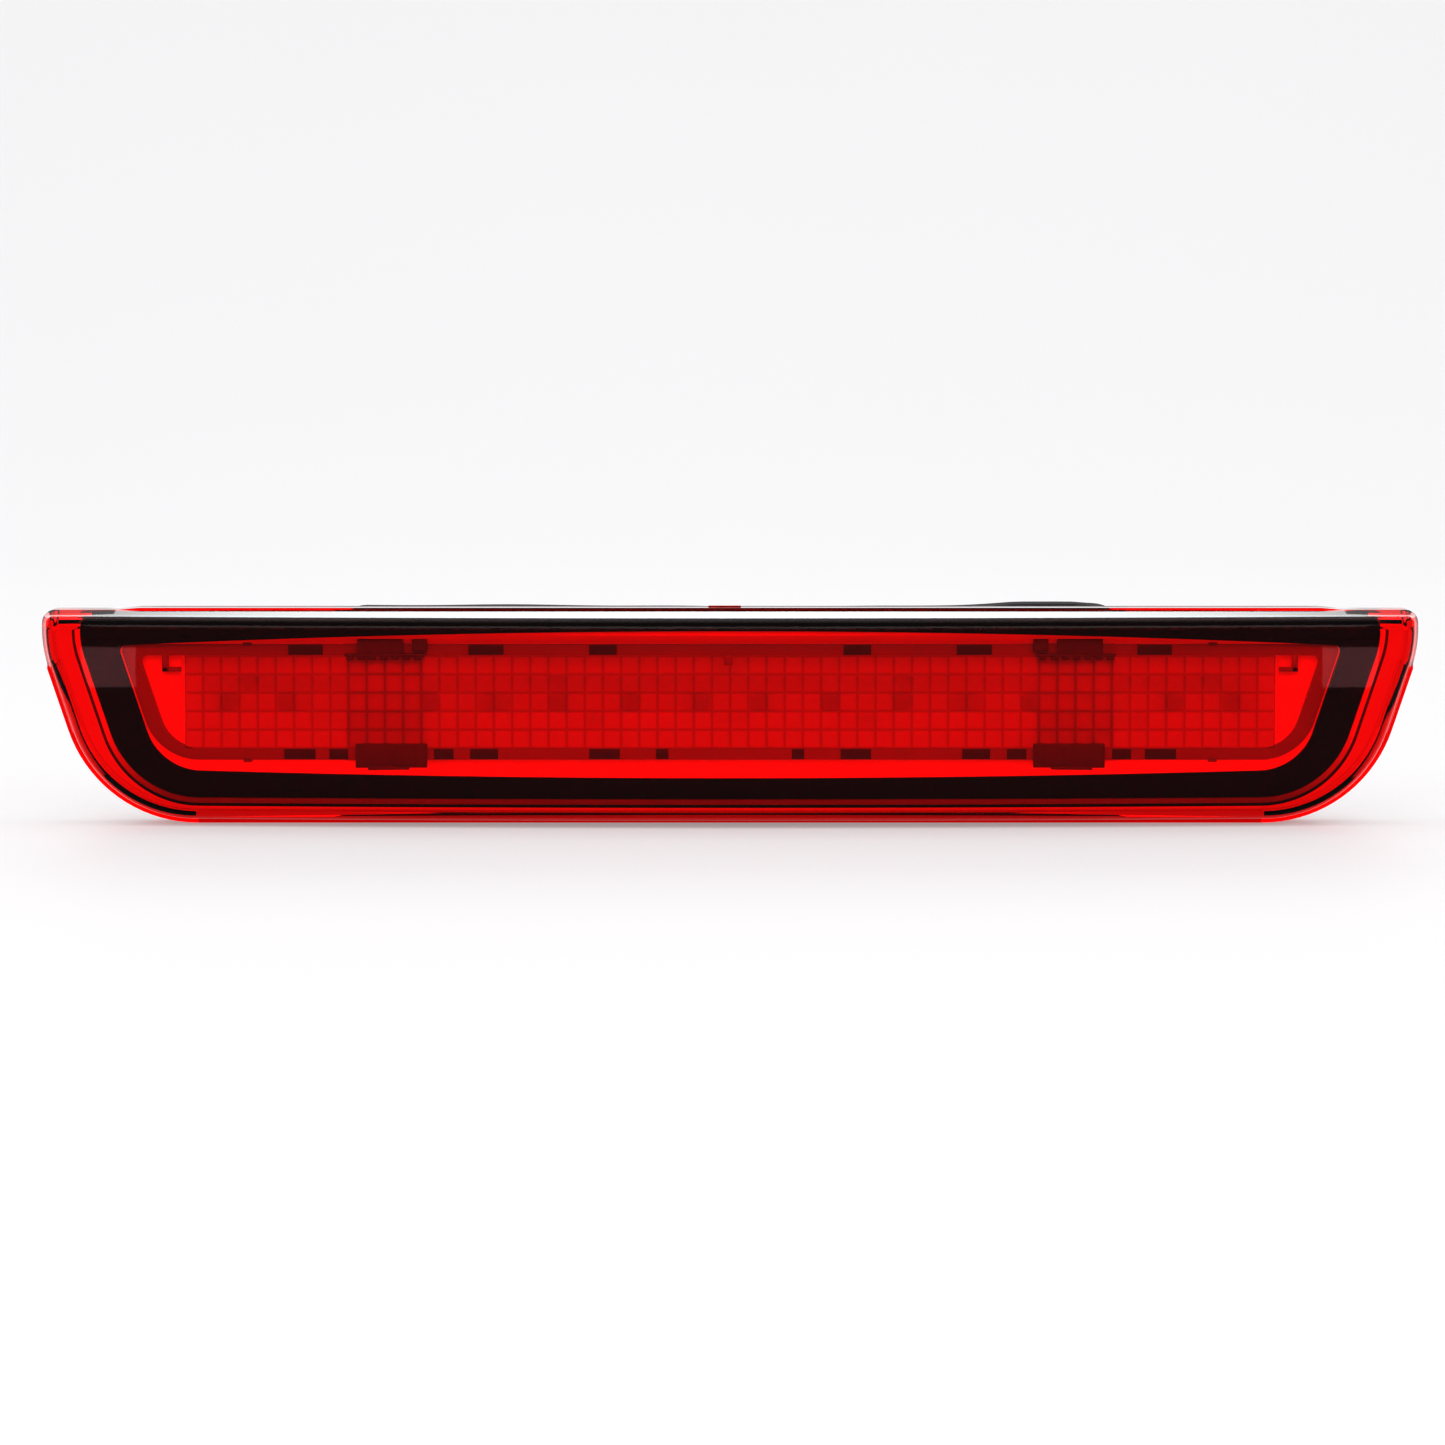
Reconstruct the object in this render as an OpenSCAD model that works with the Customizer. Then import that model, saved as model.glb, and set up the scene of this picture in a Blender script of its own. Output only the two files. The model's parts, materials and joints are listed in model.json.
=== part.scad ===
// High-mounted stop lamp: red bowed lens, black bezel, pillow optic over a bright reflector,
// LED board, black rear housing with foam gasket, connector inlet, vent and two sprung clips.
// X runs along the lamp, +Y from the lens towards the vehicle, +Z up. The lamp stands on the lip.
// Depths are counted from the foremost point of the lens, and front_y puts them in the frame.

/* [Lens] */
// Width of the lens without its rear lip
lens_w = 380; // [350:1:460]
// Height of the lens without its rear lip
lens_h = 58.5; // [54:0.5:71]
// Depth of the lens from its foremost point to its rear edge
lens_d = 28; // [26:0.5:34]
// Wall thickness of the lens
lens_t = 2.5; // [2:0.1:3]
// Radius of the front skin seen from above
bow_r = 1700; // [1500:50:2600]
// Radius of the upper sides seen from the front
shoulder_r = 34; // [28:0.5:42]
// How far the straight flanks under them lean in, in degrees
flank_lean = 18.6; // [14:0.2:24]
// Radius of the lower corners seen from the front
corner_r = 37; // [30:0.5:44]
// Radius of the upper corners seen from the front
top_r = 3.5; // [2:0.5:5]
// Radius of the front edges along the top and the bottom
edge_r = 3; // [1.5:0.5:4]
// How far the rear lip stands out
lip = 0.5; // [0.3:0.05:1]
// Thickness of the rear lip
lip_t = 10; // [6:0.5:12]
// Height up to which the lip runs at the sides
lip_side_h = 44; // [35:1:50]
// Length of the lip along the top
lip_top_w = 331; // [280:1:345]
// Thickness of the weld rib behind the skin
rib_t = 2; // [1.5:0.1:3]

/* [Bezel and window] */
// See-through margin between the lens side and the bezel
margin_side = 11.4; // [9:0.1:13]
// See-through margin between the lens bottom and the bezel
margin_low = 8.25; // [6:0.25:10]
// Thickness of the bezel
bezel_t = 2; // [1.5:0.1:2.5]
// Width of the black band at the sides of the window
band_side = 9.6; // [8:0.1:14]
// Width of the black band under the window's lower corners
band_low = 6.9; // [5:0.1:8]
// Height of the window's arched top over its upper corners
arch_h = 4.3; // [2:0.1:5]
// How far the window's bottom sags below its lower corners
sag_h = 1.6; // [0.5:0.1:2.5]
// Depth of the bezel's return flange under the lens top
return_d = 20; // [12:1:22]

/* [Optic and reflector] */
// Length of the pillow optic
optic_w = 300; // [260:2:304]
// Height of the rows of pillows
optic_h = 25.5; // [22:0.5:27]
// Height of the frame's strips above and below the optic
frame_strip = 3.1; // [2:0.1:3.5]
// Width of the frame's rounded ends
frame_end_w = 4.2; // [3:0.1:6]
// Width of the bars between the optic and the open ends of its frame
frame_bar = 1; // [0.8:0.1:2]
// Plate thickness of the optic
optic_t = 2; // [1.5:0.1:2.5]
// Number of pillow rows
pillow_rows = 5; // [4:1:6]
// Height of a pillow over the plate
pillow_h = 0.7; // [0.4:0.1:0.8]
// Wall thickness of the reflector
reflector_t = 1.5; // [1.2:0.1:2]
// Height of the slot that the LEDs shine through
light_slot_h = 13; // [10:0.5:15]
// Height of the end pads over the reflector floor
pad_h = 2.5; // [1:0.5:3.5]
// Distance of the optic clips from the middle
clip_station = 95; // [80:1:100]
// Width of an optic clip
saddle_w = 22; // [16:1:24]

/* [Circuit board] */
// Length of the board
board_w = 304; // [280:2:304]
// Height of the board
board_h = 22; // [20:0.5:23]
// Thickness of the board
board_t = 1.6; // [1:0.1:2]
// Number of LEDs in the row
led_count = 16; // [10:1:20]
// Side of a LED package
led_size = 5; // [3:0.5:6]
// Thickness of a LED package
led_t = 1.6; // [1:0.1:1.8]
// Radius of the board screws' shanks
screw_r = 1.25; // [1:0.05:1.5]

/* [Rear housing] */
// Wall thickness of the housing
wall = 2.2; // [1.8:0.1:3]
// Width of the deep box in the middle
box_w = 216; // [210:1:240]
// Height of the deep box
box_h = 45.5; // [42:0.5:46]
// Depth of the box behind the lens
box_d = 18; // [14:0.5:24]
// Thickness of the foam gasket around the box
foam_t = 4; // [3:0.5:5]
// Depth of the foam gasket
foam_d = 12; // [8:0.5:14]
// How far the foam stands behind the box
foam_proud = 4; // [2:0.5:6]
// Thickness of the seal bead between lens rib and housing
seal_t = 0.8; // [0.5:0.1:1.5]

/* [Fixings] */
// Length of the clip towers behind the box
tower_d = 22; // [20:0.5:28]
// Radius of the clip pins
clip_pin_r = 1.2; // [1:0.05:1.4]
// Thickness of the spring steel
leaf_t = 0.7; // [0.4:0.05:0.9]
// Width of a spring clip
leaf_w = 8; // [6:0.5:10]
// Radius of the locating pegs
peg_r = 3; // [2:0.1:4]
// Length of the locating pegs
peg_l = 12; // [8:0.5:16]
// Distance of the pegs from the middle
peg_x = 68; // [60:1:76]

/* [Connector] */
// Inside width of the connector socket
socket_w = 15; // [12:0.5:18]
// Inside height of the connector socket
socket_h = 10; // [9.5:0.5:12]
// Inside depth of the connector socket
socket_d = 13; // [11:0.5:15]
// Wall of the connector socket
socket_t = 1.6; // [1.2:0.1:2]
// Width of a terminal blade
blade_w = 2.8; // [2:0.1:3]
// Thickness of a terminal blade
blade_t = 0.8; // [0.6:0.1:1]

/* [Fits] */
// Gap between pieces that seat in each other
fit_gap = 0.1; // [0.05:0.05:0.3]
// Radial clearance of the clips on their pins
run_gap = 0.05; // [0.02:0.01:0.1]

/* [Hidden] */
$fn = 64;
bow_fn = 720;
past = 1;

// Heights
lens_low = lip;
lens_high = lip + lens_h;
side_z = lens_high - 5.3;
roof_z = lens_high - lens_t;
bezel_high = roof_z - fit_gap;
bezel_low = lens_low + margin_low;
window_low = bezel_low + band_low;
return_low = bezel_high - bezel_t;
window_high = return_low - 0.4;
led_z = window_low + 18.3;
box_high = roof_z - fit_gap - 0.9;
box_low = box_high - box_h;

// Depths
rib_end = lens_d - 4;
plate_front = rib_end + seal_t;
plate_back = plate_front + wall;
box_back = lens_d + box_d;
board_back = plate_front - 1;
board_front = board_back - board_t;
led_front = board_front - led_t;
screw_head_h = 1.8;
floor_back = board_front - screw_head_h - 0.6;
floor_front = floor_back - reflector_t;
optic_back = floor_front - 3.4;
optic_front = optic_back - optic_t;
overall_d = box_back + tower_d;
front_y = -overall_d / 2;

// Places along the lamp
optic_low = led_z - optic_h / 2;
optic_high = led_z + optic_h / 2;
frame_low = optic_low - fit_gap - frame_strip;
frame_high = optic_high + fit_gap + frame_strip;
pad_x = optic_w / 2 + fit_gap + frame_bar;
socket_x = 36;
header_x = 4;
vent_x = -36;
wing_screw_x = 132;
box_screw_x = 48;
screw_z = led_z + board_h / 2 - 3.2;

// Puts a module that counts depths from the front of the lens into the frame
module placed() { translate([0, front_y, 0]) children(); }

// A plate between two depths, from a shape drawn in X and Z
module slab(near, far) {
    translate([0, far, 0]) rotate([90, 0, 0]) linear_extrude(height = far - near) children();
}

// A rod along Y between two depths
module rod(x, z, r, near, far) {
    translate([x, near, z]) rotate([-90, 0, 0]) cylinder(r = r, h = far - near);
}

// A block given by its middle in X and Z and its two depths
module block(x, z, w, h, near, far) {
    translate([x - w / 2, near, z - h / 2]) cube([w, far - near, h]);
}

// Everything behind the bowed front surface, set back by a distance
module behind_bow(setback) {
    translate([0, bow_r, -past]) cylinder(r = bow_r - setback, h = lens_high + 3 * past, $fn = bow_fn);
}

// Points along an arc from angle a0 to a1, in a number of equal steps
function arc(x, z, r, a0, a1, steps) =
    [for (i = [0 : steps]) let (a = a0 + (a1 - a0) * i / steps) [x + r * cos(a), z + r * sin(a)]];

// Where the centre of a corner of radius r lies, when its height is z and it touches the flank
function flank_x(in_side, r, z) =
    lens_w / 2 - shoulder_r
        + (shoulder_r - in_side - r + (z - side_z) * sin(flank_lean)) / cos(flank_lean);

// The right-hand half of the outline, from the bottom up: round corner, straight flank, shoulder
// and top corner. in_side, low and high say where its sides, bottom and top are, and its arcs
// share centres. Where the top is low, the top corner runs straight into the flank.
function right_half(in_side, low, high) =
    let (
        rs = shoulder_r - in_side,
        rc = corner_r - in_side,
        rt = max(top_r - in_side, top_r / 2),
        sx = lens_w / 2 - shoulder_r,
        cz = low + rc,
        tz = high - rt,
        on_flank = tz - side_z < (rt - rs) * sin(flank_lean),
        tx = on_flank ? flank_x(in_side, rt, tz) : sx + sqrt(pow(rs - rt, 2) - pow(tz - side_z, 2)),
        top_a = on_flank ? -flank_lean : atan2(tz - side_z, tx - sx)
    )
    concat(
        arc(flank_x(in_side, rc, cz), cz, rc, -90, -flank_lean, 14),
        on_flank ? [] : arc(sx, side_z, rs, -flank_lean, top_a, 8),
        arc(tx, tz, rt, on_flank ? top_a : top_a + 12, 90, 6)
    );

// A shallow bow of points between x = -half_x and half_x, that rises by lift in the middle
function bulge(half_x, z, lift) =
    [for (i = [1 : 23]) let (u = i / 12 - 1) [u * half_x, z + lift * (1 - u * u)]];

// The lamp's outline in X and Z: bulging sides, a bottom that may sag and a top that may be arched
module outline(in_side, low, high, sag = 0, arch = 0) {
    half = right_half(in_side, low, high);
    last = len(half) - 1;
    crown = bulge(-half[last][0], high, arch);
    back = [for (i = [last : -1 : 0]) [-half[i][0], half[i][1]]];
    floor = bulge(half[0][0], low, -sag);
    polygon(concat(half, arch > 0 ? crown : [], back, sag > 0 ? floor : []));
}

// The window's outline, with its gently bowed bottom and top
module window_outline() {
    outline(margin_side + band_side, window_low, window_high - arch_h, sag_h, arch_h);
}

// A ring that rounds off the front edge of the lens, revolved with the bow
module edge_cutter(z_edge, up) {
    translate([0, bow_r, z_edge]) mirror([0, 0, up ? 0 : 1])
        rotate([0, 0, -100]) rotate_extrude(angle = 20, $fn = bow_fn)
            translate([bow_r - edge_r, -edge_r]) difference() {
                square(edge_r + past);
                circle(r = edge_r);
            }
}

module outer_lens() {
    color([0.85, 0, 0.02, 0.6]) placed() {
        difference() {
            intersection() {
                slab(-past, lens_d) outline(0, lens_low, lens_high);
                behind_bow(0);
            }
            intersection() {
                slab(-past, lens_d + past) outline(lens_t, lens_low + lens_t, roof_z);
                behind_bow(lens_t);
            }
            edge_cutter(lens_high, true);
            edge_cutter(lens_low, false);
        }
        difference() {
            slab(lens_d - lip_t, lens_d) intersection() {
                outline(-lip, lens_low - lip, lens_high + lip);
                union() {
                    translate([-lens_w, -past]) square([2 * lens_w, lip_side_h + past]);
                    translate([-lip_top_w / 2, 0]) square([lip_top_w, lens_high + lip]);
                }
            }
            slab(0, lens_d + past) outline(lens_t, lens_low + lens_t, roof_z);
        }
        intersection() {
            slab(0, rib_end) difference() {
                outline(margin_side - rib_t - fit_gap, bezel_low - rib_t - fit_gap, roof_z + 0.5);
                outline(margin_side - fit_gap, bezel_low - fit_gap, roof_z + past);
            }
            behind_bow(lens_t / 2);
        }
    }
}

module bezel() {
    setback = lens_t + fit_gap;
    color([0.05, 0.04, 0.04]) placed() intersection() {
        difference() {
            slab(0, rib_end) difference() {
                outline(margin_side, bezel_low, bezel_high);
                window_outline();
            }
            intersection() {
                behind_bow(setback + bezel_t);
                union() {
                    block(0, 0, lens_w, 2 * return_low, -past, rib_end + past);
                    block(0, 0, lens_w, 4 * return_low, return_d, rib_end + past);
                }
            }
        }
        behind_bow(setback);
    }
}

module inner_optic() {
    pitch = optic_h / pillow_rows;
    row_r = pow(pitch / 2, 2) / (2 * pillow_h) + pillow_h / 2;
    color([0.85, 0.05, 0.05, 0.7]) placed() {
        block(0, led_z, optic_w, optic_h, optic_front, optic_back);
        for (i = [0 : pillow_rows - 1]) intersection() {
            translate([-optic_w / 2, optic_front + row_r - pillow_h, optic_low + (i + 0.5) * pitch])
                rotate([0, 90, 0]) cylinder(r = row_r, h = optic_w);
            block(0, led_z, optic_w + past, optic_h, optic_front - past, optic_front + past / 2);
        }
    }
}

module optic_frame() {
    in_side = margin_side + band_side + 0.4;
    color([0.3, 0.28, 0.28]) placed() intersection() {
        slab(optic_front, optic_back) difference() {
            outline(in_side, frame_low, frame_high);
            translate([-optic_w / 2 - fit_gap, optic_low - fit_gap])
                square([optic_w + 2 * fit_gap, optic_h + 2 * fit_gap]);
            difference() {
                outline(in_side + frame_end_w, optic_low - fit_gap, optic_high + fit_gap);
                translate([-pad_x, 0]) square([2 * pad_x, lens_high]);
            }
        }
        behind_bow(lens_t + 2 * fit_gap + bezel_t);
    }
}

module reflector() {
    in_side = margin_side + band_side - 2.5;
    low = window_low - sag_h - 2;
    high = return_low - fit_gap;
    color([0.9, 0.9, 0.92]) placed() {
        difference() {
            intersection() {
                slab(0, floor_back) outline(in_side, low, high);
                behind_bow(lens_t + 2 * fit_gap + bezel_t);
            }
            slab(0, floor_front) outline(in_side + reflector_t, low + reflector_t, high - reflector_t);
            block(0, led_z, optic_w - 8, light_slot_h, 0, lens_d);
        }
        intersection() {
            slab(floor_front - pad_h, floor_back) difference() {
                outline(in_side + 4, low + 8, high - 7);
                translate([-pad_x, 0]) square([2 * pad_x, lens_high]);
            }
            behind_bow(lens_t + 2 * fit_gap + bezel_t);
        }
    }
}

// A saddle behind the optic whose hooks hold its plain strips
module optic_clip(side) {
    hook = 2;
    strap = 2;
    low = frame_low - fit_gap;
    high = frame_high + fit_gap;
    strap_back = optic_back + fit_gap + strap;
    color([0.12, 0.1, 0.1]) placed() translate([side * clip_station, 0, 0]) {
        block(0, (low + high) / 2, saddle_w, high - low + 2 * hook, optic_back + fit_gap, strap_back);
        for (end = [[low - hook / 2, 1], [high + hook / 2, -1]]) {
            block(0, end[0], saddle_w, hook, optic_front - hook, strap_back);
            block(0, end[0] + end[1] * 0.9, saddle_w, hook + 1.2, optic_front - fit_gap - hook,
                  optic_front - fit_gap);
        }
        for (x = [-saddle_w / 2 + 3, saddle_w / 2 - 3], z = [low + 1, high - 1])
            block(x, z, 4, 4, strap_back - 0.5, floor_front - fit_gap);
    }
}

module optic_clip_left() { optic_clip(-1); }

module optic_clip_right() { optic_clip(1); }

// Calls its children at each of the four board screws
module at_board_screws() {
    for (x = [-wing_screw_x, -box_screw_x, box_screw_x, wing_screw_x])
        translate([x, 0, screw_z]) children();
}

module circuit_board() {
    color([0.88, 0.88, 0.84]) placed() difference() {
        block(0, led_z, board_w, board_h, board_front, board_back);
        at_board_screws() rod(0, 0, screw_r + 0.25, board_front - past, board_back + past);
    }
}

module leds() {
    pitch = (optic_w - 20) / (led_count - 1);
    color([0.95, 0.9, 0.6]) placed() for (i = [0 : led_count - 1]) {
        x = (i - (led_count - 1) / 2) * pitch;
        block(x, led_z, led_size, led_size, led_front, board_front);
        rod(x, led_z, led_size / 2 - 0.5, led_front - 0.4, led_front);
    }
}

module resistors() {
    pitch = (optic_w - 20) / (led_count - 1);
    color([0.08, 0.08, 0.09]) placed() for (i = [1 : 2 : led_count - 2])
        block((i - (led_count - 2) / 2) * pitch, led_z - board_h / 2 + 3, 5, 2.6, board_front - 0.6, board_front);
}

module protection_diode() {
    color([0.1, 0.1, 0.1]) placed()
        block(header_x - 22, led_z - 4, 4.6, 2.8, board_back, board_back + 2);
}

module board_header() {
    color([0.92, 0.9, 0.82]) placed() difference() {
        block(header_x, led_z, 10, 7, board_back, board_back + 6);
        for (x = lead_xs) block(header_x + x, led_z, 2.2, 2.2, board_back + 2, board_back + 7);
    }
}

module board_screws() {
    color([0.75, 0.75, 0.78]) placed() at_board_screws() difference() {
        union() {
            rod(0, 0, 2 * screw_r, board_front - screw_head_h, board_front);
            rod(0, 0, screw_r, board_front - past, board_back + 6);
        }
        for (turn = [0, 90]) rotate([0, turn, 0])
            block(0, 0, 3, 0.7, board_front - screw_head_h - past, board_front - 0.9);
    }
}

// Sideways places of the two leads in the header and of the two blades in the socket
lead_xs = [-2.5, 2.5];
lead_r = 0.9;
tail_front = box_back - 8;

// A short lead: out of the header, across the box and onto the tail of its blade
module lead(i) {
    from_x = header_x + lead_xs[i];
    to_x = socket_x + lead_xs[i];
    turn_y = board_back + 9 + 2.5 * (1 - i);
    bend = 1.5;
    placed() translate([0, 0, led_z]) {
        rod(from_x, 0, lead_r, board_back + 2.2, turn_y - bend);
        translate([from_x + bend, turn_y - bend, 0]) elbow(bend, 90);
        translate([from_x + bend, turn_y, 0]) rotate([0, 90, 0])
            cylinder(r = lead_r, h = to_x - from_x - 2 * bend, $fn = 32);
        translate([to_x - bend, turn_y + bend, 0]) elbow(bend, 270);
        rod(to_x, 0, lead_r, turn_y + bend, tail_front - fit_gap);
    }
}

// A quarter bend in the XY plane
module elbow(bend, start) {
    rotate([0, 0, start]) rotate_extrude(angle = 90) translate([bend, 0]) circle(r = lead_r, $fn = 32);
}

module lead_positive() { color([0.75, 0.05, 0.05]) lead(0); }

module lead_negative() { color([0.05, 0.05, 0.05]) lead(1); }

// The rounded rectangle of the deep box, grown outwards by a distance
module box_outline(grow) {
    r = 5 + grow;
    w = box_w / 2 - 5;
    mid = (box_low + box_high) / 2;
    h = box_h / 2 - 5;
    for (x = [-w, w], z = [mid - h, mid + h]) translate([x, z]) circle(r = r);
    translate([-w, mid - h - r]) square([2 * w, 2 * (h + r)]);
    translate([-w - r, mid - h]) square([2 * (w + r), 2 * h]);
}

vent_ring_r = 6;
vent_bore_r = 2;

module rear_housing() {
    plate_in = margin_side - rib_t - fit_gap;
    rim_in = margin_side + fit_gap;
    boss_r = 3.2;
    color([0.1, 0.1, 0.11]) placed() {
        difference() {
            union() {
                slab(plate_front, plate_back)
                    outline(plate_in, bezel_low - rib_t - fit_gap, roof_z - fit_gap);
                slab(rib_end - 3.5, plate_front + past / 2) difference() {
                    outline(rim_in, bezel_low + fit_gap, bezel_high - 2.2);
                    outline(rim_in + 1.6, bezel_low + fit_gap + 1.6, bezel_high - 3.8);
                }
                slab(plate_front, box_back) box_outline(0);
                at_board_screws() rod(0, 0, boss_r, board_back, plate_back + 5);
            }
            difference() {
                slab(plate_front - past, box_back - wall) box_outline(-wall);
                at_board_screws() rod(0, 0, boss_r, board_back, box_back);
            }
            at_board_screws() rod(0, 0, screw_r + fit_gap / 2, board_back - past, board_back + 6.5);
            block(socket_x, led_z, plug_w + 2 * fit_gap, plug_h + 2 * fit_gap, tail_front, box_back + past);
            rod(vent_x, led_z, vent_bore_r, tail_front, box_back + past);
            at_socket_screws() rod(0, 0, screw_r + fit_gap / 2, box_back - wall - 3, box_back + past);
        }
        difference() {
            rod(vent_x, led_z, vent_ring_r, box_back - wall / 2, box_back + 2);
            rod(vent_x, led_z, vent_ring_r - 1.4, box_back, box_back + 3);
            rod(vent_x, led_z, vent_bore_r, tail_front, box_back + past);
        }
        difference() {
            at_socket_screws() rod(0, 0, boss_r, box_back - wall - 4, box_back - wall / 2);
            at_socket_screws() rod(0, 0, screw_r + fit_gap / 2, box_back - wall - 3, box_back + past);
        }
        for (x = [-peg_x, peg_x]) {
            rod(x, led_z, peg_r, box_back - wall / 2, box_back + peg_l - 1);
            translate([x, box_back + peg_l - 1, led_z]) rotate([-90, 0, 0])
                cylinder(r1 = peg_r, r2 = peg_r - 1, h = 1);
        }
        for (side = [0, 1]) mirror([side, 0, 0]) clip_tower();
    }
}

// Places of a spring clip, right-hand side, in X and depth
web_x = clip_station - 4;
pin_x = clip_station + 2;
pin_y = overall_d - 3.5;
ear_t = 2.4;

// The moulded tower: a web with a foot, and two ears that carry the pin
module clip_tower() {
    block(web_x, led_z, 5, leaf_w + 0.8 + 2 * ear_t, box_back - wall / 2, overall_d);
    for (z = [-1, 1]) difference() {
        translate([web_x - 2.5, pin_y - 6, led_z + z * (leaf_w / 2 + 0.4 + ear_t / 2) - ear_t / 2])
            cube([pin_x - web_x + 5.5, 9.5, ear_t]);
        translate([pin_x, pin_y, led_z - leaf_w]) cylinder(r = clip_pin_r + fit_gap / 4, h = 2 * leaf_w);
    }
}

// A bent strip through a list of points
module strip(points, t) {
    for (i = [0 : len(points) - 2]) {
        run = points[i + 1] - points[i];
        translate(points[i]) rotate(atan2(run[1], run[0])) translate([0, -t / 2]) square([norm(run), t]);
    }
    for (i = [1 : len(points) - 2]) translate(points[i]) circle(r = t / 2, $fn = 24);
}

// A spring-steel clip: rolled end on the pin, sloping leaf, retaining shoulder and tail
module spring_clip(side) {
    roll_r = clip_pin_r + run_gap;
    path = [[roll_r + leaf_t / 2, 0], [8, -11.5], [4.2, -14.2], [4.2, -17]];
    color([0.6, 0.62, 0.65]) placed() mirror([side < 0 ? 1 : 0, 0, 0])
        translate([pin_x, pin_y, led_z - leaf_w / 2]) linear_extrude(height = leaf_w) difference() {
            union() {
                circle(r = roll_r + leaf_t);
                strip(path, leaf_t);
            }
            circle(r = roll_r);
        }
}

module spring_clip_left() { spring_clip(-1); }

module spring_clip_right() { spring_clip(1); }

module clip_pins() {
    half = leaf_w / 2 + 0.4 + ear_t + 0.6;
    color([0.7, 0.7, 0.72]) placed() for (side = [-1, 1])
        translate([side * pin_x, pin_y, led_z - half]) cylinder(r = clip_pin_r, h = 2 * half);
}

module lens_seal() {
    color([0.15, 0.15, 0.16]) placed() slab(rib_end, plate_front) difference() {
        outline(margin_side - rib_t - fit_gap, bezel_low - rib_t - fit_gap, roof_z - fit_gap);
        outline(margin_side - fit_gap, bezel_low - fit_gap, bezel_high - 2);
    }
}

module foam_gasket() {
    color([0.06, 0.06, 0.06]) placed()
        slab(box_back + foam_proud - foam_d, box_back + foam_proud) difference() {
            box_outline(foam_t);
            box_outline(fit_gap / 2);
        }
}

module end_pads() {
    color([0.08, 0.08, 0.08]) placed() for (side = [-1, 1])
        block(side * 154, led_z, 18, 20, plate_back, plate_back + 6);
}

// Outside size of the part of the socket that passes through the housing wall
plug_w = 12;
plug_h = 8;
flange_front = box_back + 1.2;
flange_back = flange_front + 2;
socket_front = flange_back + 0.6;
socket_back = socket_front + socket_d;
socket_screw_pitch = 27;

// Calls its children at each of the two connector screws
module at_socket_screws() {
    for (side = [-1, 1]) translate([socket_x + side * socket_screw_pitch / 2, 0, led_z]) children();
}

// The two terminal blades, grown by a gap on all sides
module blades(gap, near, far) {
    for (x = lead_xs)
        block(socket_x + x, led_z, blade_w + 2 * gap, blade_t + 2 * gap, near, far);
}

module connector_socket() {
    out_w = socket_w + 2 * socket_t;
    out_h = socket_h + 2 * socket_t;
    color([0.13, 0.13, 0.14]) placed() difference() {
        union() {
            block(socket_x, led_z, plug_w, plug_h, box_back - wall - 2, flange_front + past);
            block(socket_x, led_z, socket_screw_pitch + 8, out_h, flange_front, flange_back);
            block(socket_x, led_z, out_w, out_h, flange_front, socket_back);
            block(socket_x, led_z + out_h / 2 + 0.6, 4, 1.4, flange_back, socket_back - 4);
        }
        block(socket_x, led_z, socket_w, socket_h, socket_front, socket_back + past);
        blades(fit_gap / 2, 0, overall_d);
        at_socket_screws() rod(0, 0, screw_r + 0.2, flange_front - past, flange_back + past);
    }
}

module connector_seal() {
    color([0.75, 0.35, 0.1]) placed() difference() {
        block(socket_x, led_z, socket_screw_pitch + 8, socket_h + 2 * socket_t, box_back, flange_front);
        block(socket_x, led_z, plug_w + fit_gap, plug_h + fit_gap, 0, overall_d);
        at_socket_screws() rod(0, 0, screw_r + 0.2, box_back - past, flange_back);
    }
}

module connector_terminals() {
    color([0.8, 0.7, 0.4]) placed() blades(0, tail_front, socket_back - 5);
}

module connector_screws() {
    color([0.75, 0.75, 0.78]) placed() at_socket_screws() difference() {
        union() {
            rod(0, 0, screw_r, box_back - wall - 2.5, flange_back + past);
            rod(0, 0, 2 * screw_r, flange_back, flange_back + screw_head_h);
        }
        for (turn = [0, 90]) rotate([0, turn, 0])
            block(0, 0, 3, 0.7, flange_back + 0.9, flange_back + screw_head_h + past);
    }
}

module vent_cap() {
    cap_r = vent_ring_r + 1.5;
    color([0.14, 0.14, 0.15]) placed() difference() {
        rod(vent_x, led_z, cap_r, box_back + 0.4, box_back + 4);
        rod(vent_x, led_z, vent_ring_r + fit_gap / 2, box_back, box_back + 2.4);
        for (turn = [0, 60, 120]) translate([vent_x, 0, led_z]) rotate([0, turn, 0])
            block(0, 0, 3 * cap_r, 2, box_back, box_back + 1.6);
    }
}

module vent_membrane() {
    color([0.95, 0.95, 0.95]) placed()
        rod(vent_x, led_z, vent_ring_r - 1.4 - fit_gap, box_back, box_back + 0.4);
}

outer_lens();
bezel();
inner_optic();
optic_frame();
reflector();
optic_clip_left();
optic_clip_right();
circuit_board();
leds();
resistors();
protection_diode();
board_header();
board_screws();
lead_positive();
lead_negative();
rear_housing();
lens_seal();
foam_gasket();
end_pads();
spring_clip_left();
spring_clip_right();
clip_pins();
connector_socket();
connector_seal();
connector_terminals();
connector_screws();
vent_cap();
vent_membrane();
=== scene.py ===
"""Looks of a high-mounted stop lamp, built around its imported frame.

Lengths in the classes are in millimetres, and depths are counted from the foremost point of
the lens towards the vehicle. Placement turns both into metres in the frame.
"""
import json
import logging
import math
from collections.abc import Callable, Iterable, Sequence
from dataclasses import dataclass, field
from enum import Enum

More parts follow.
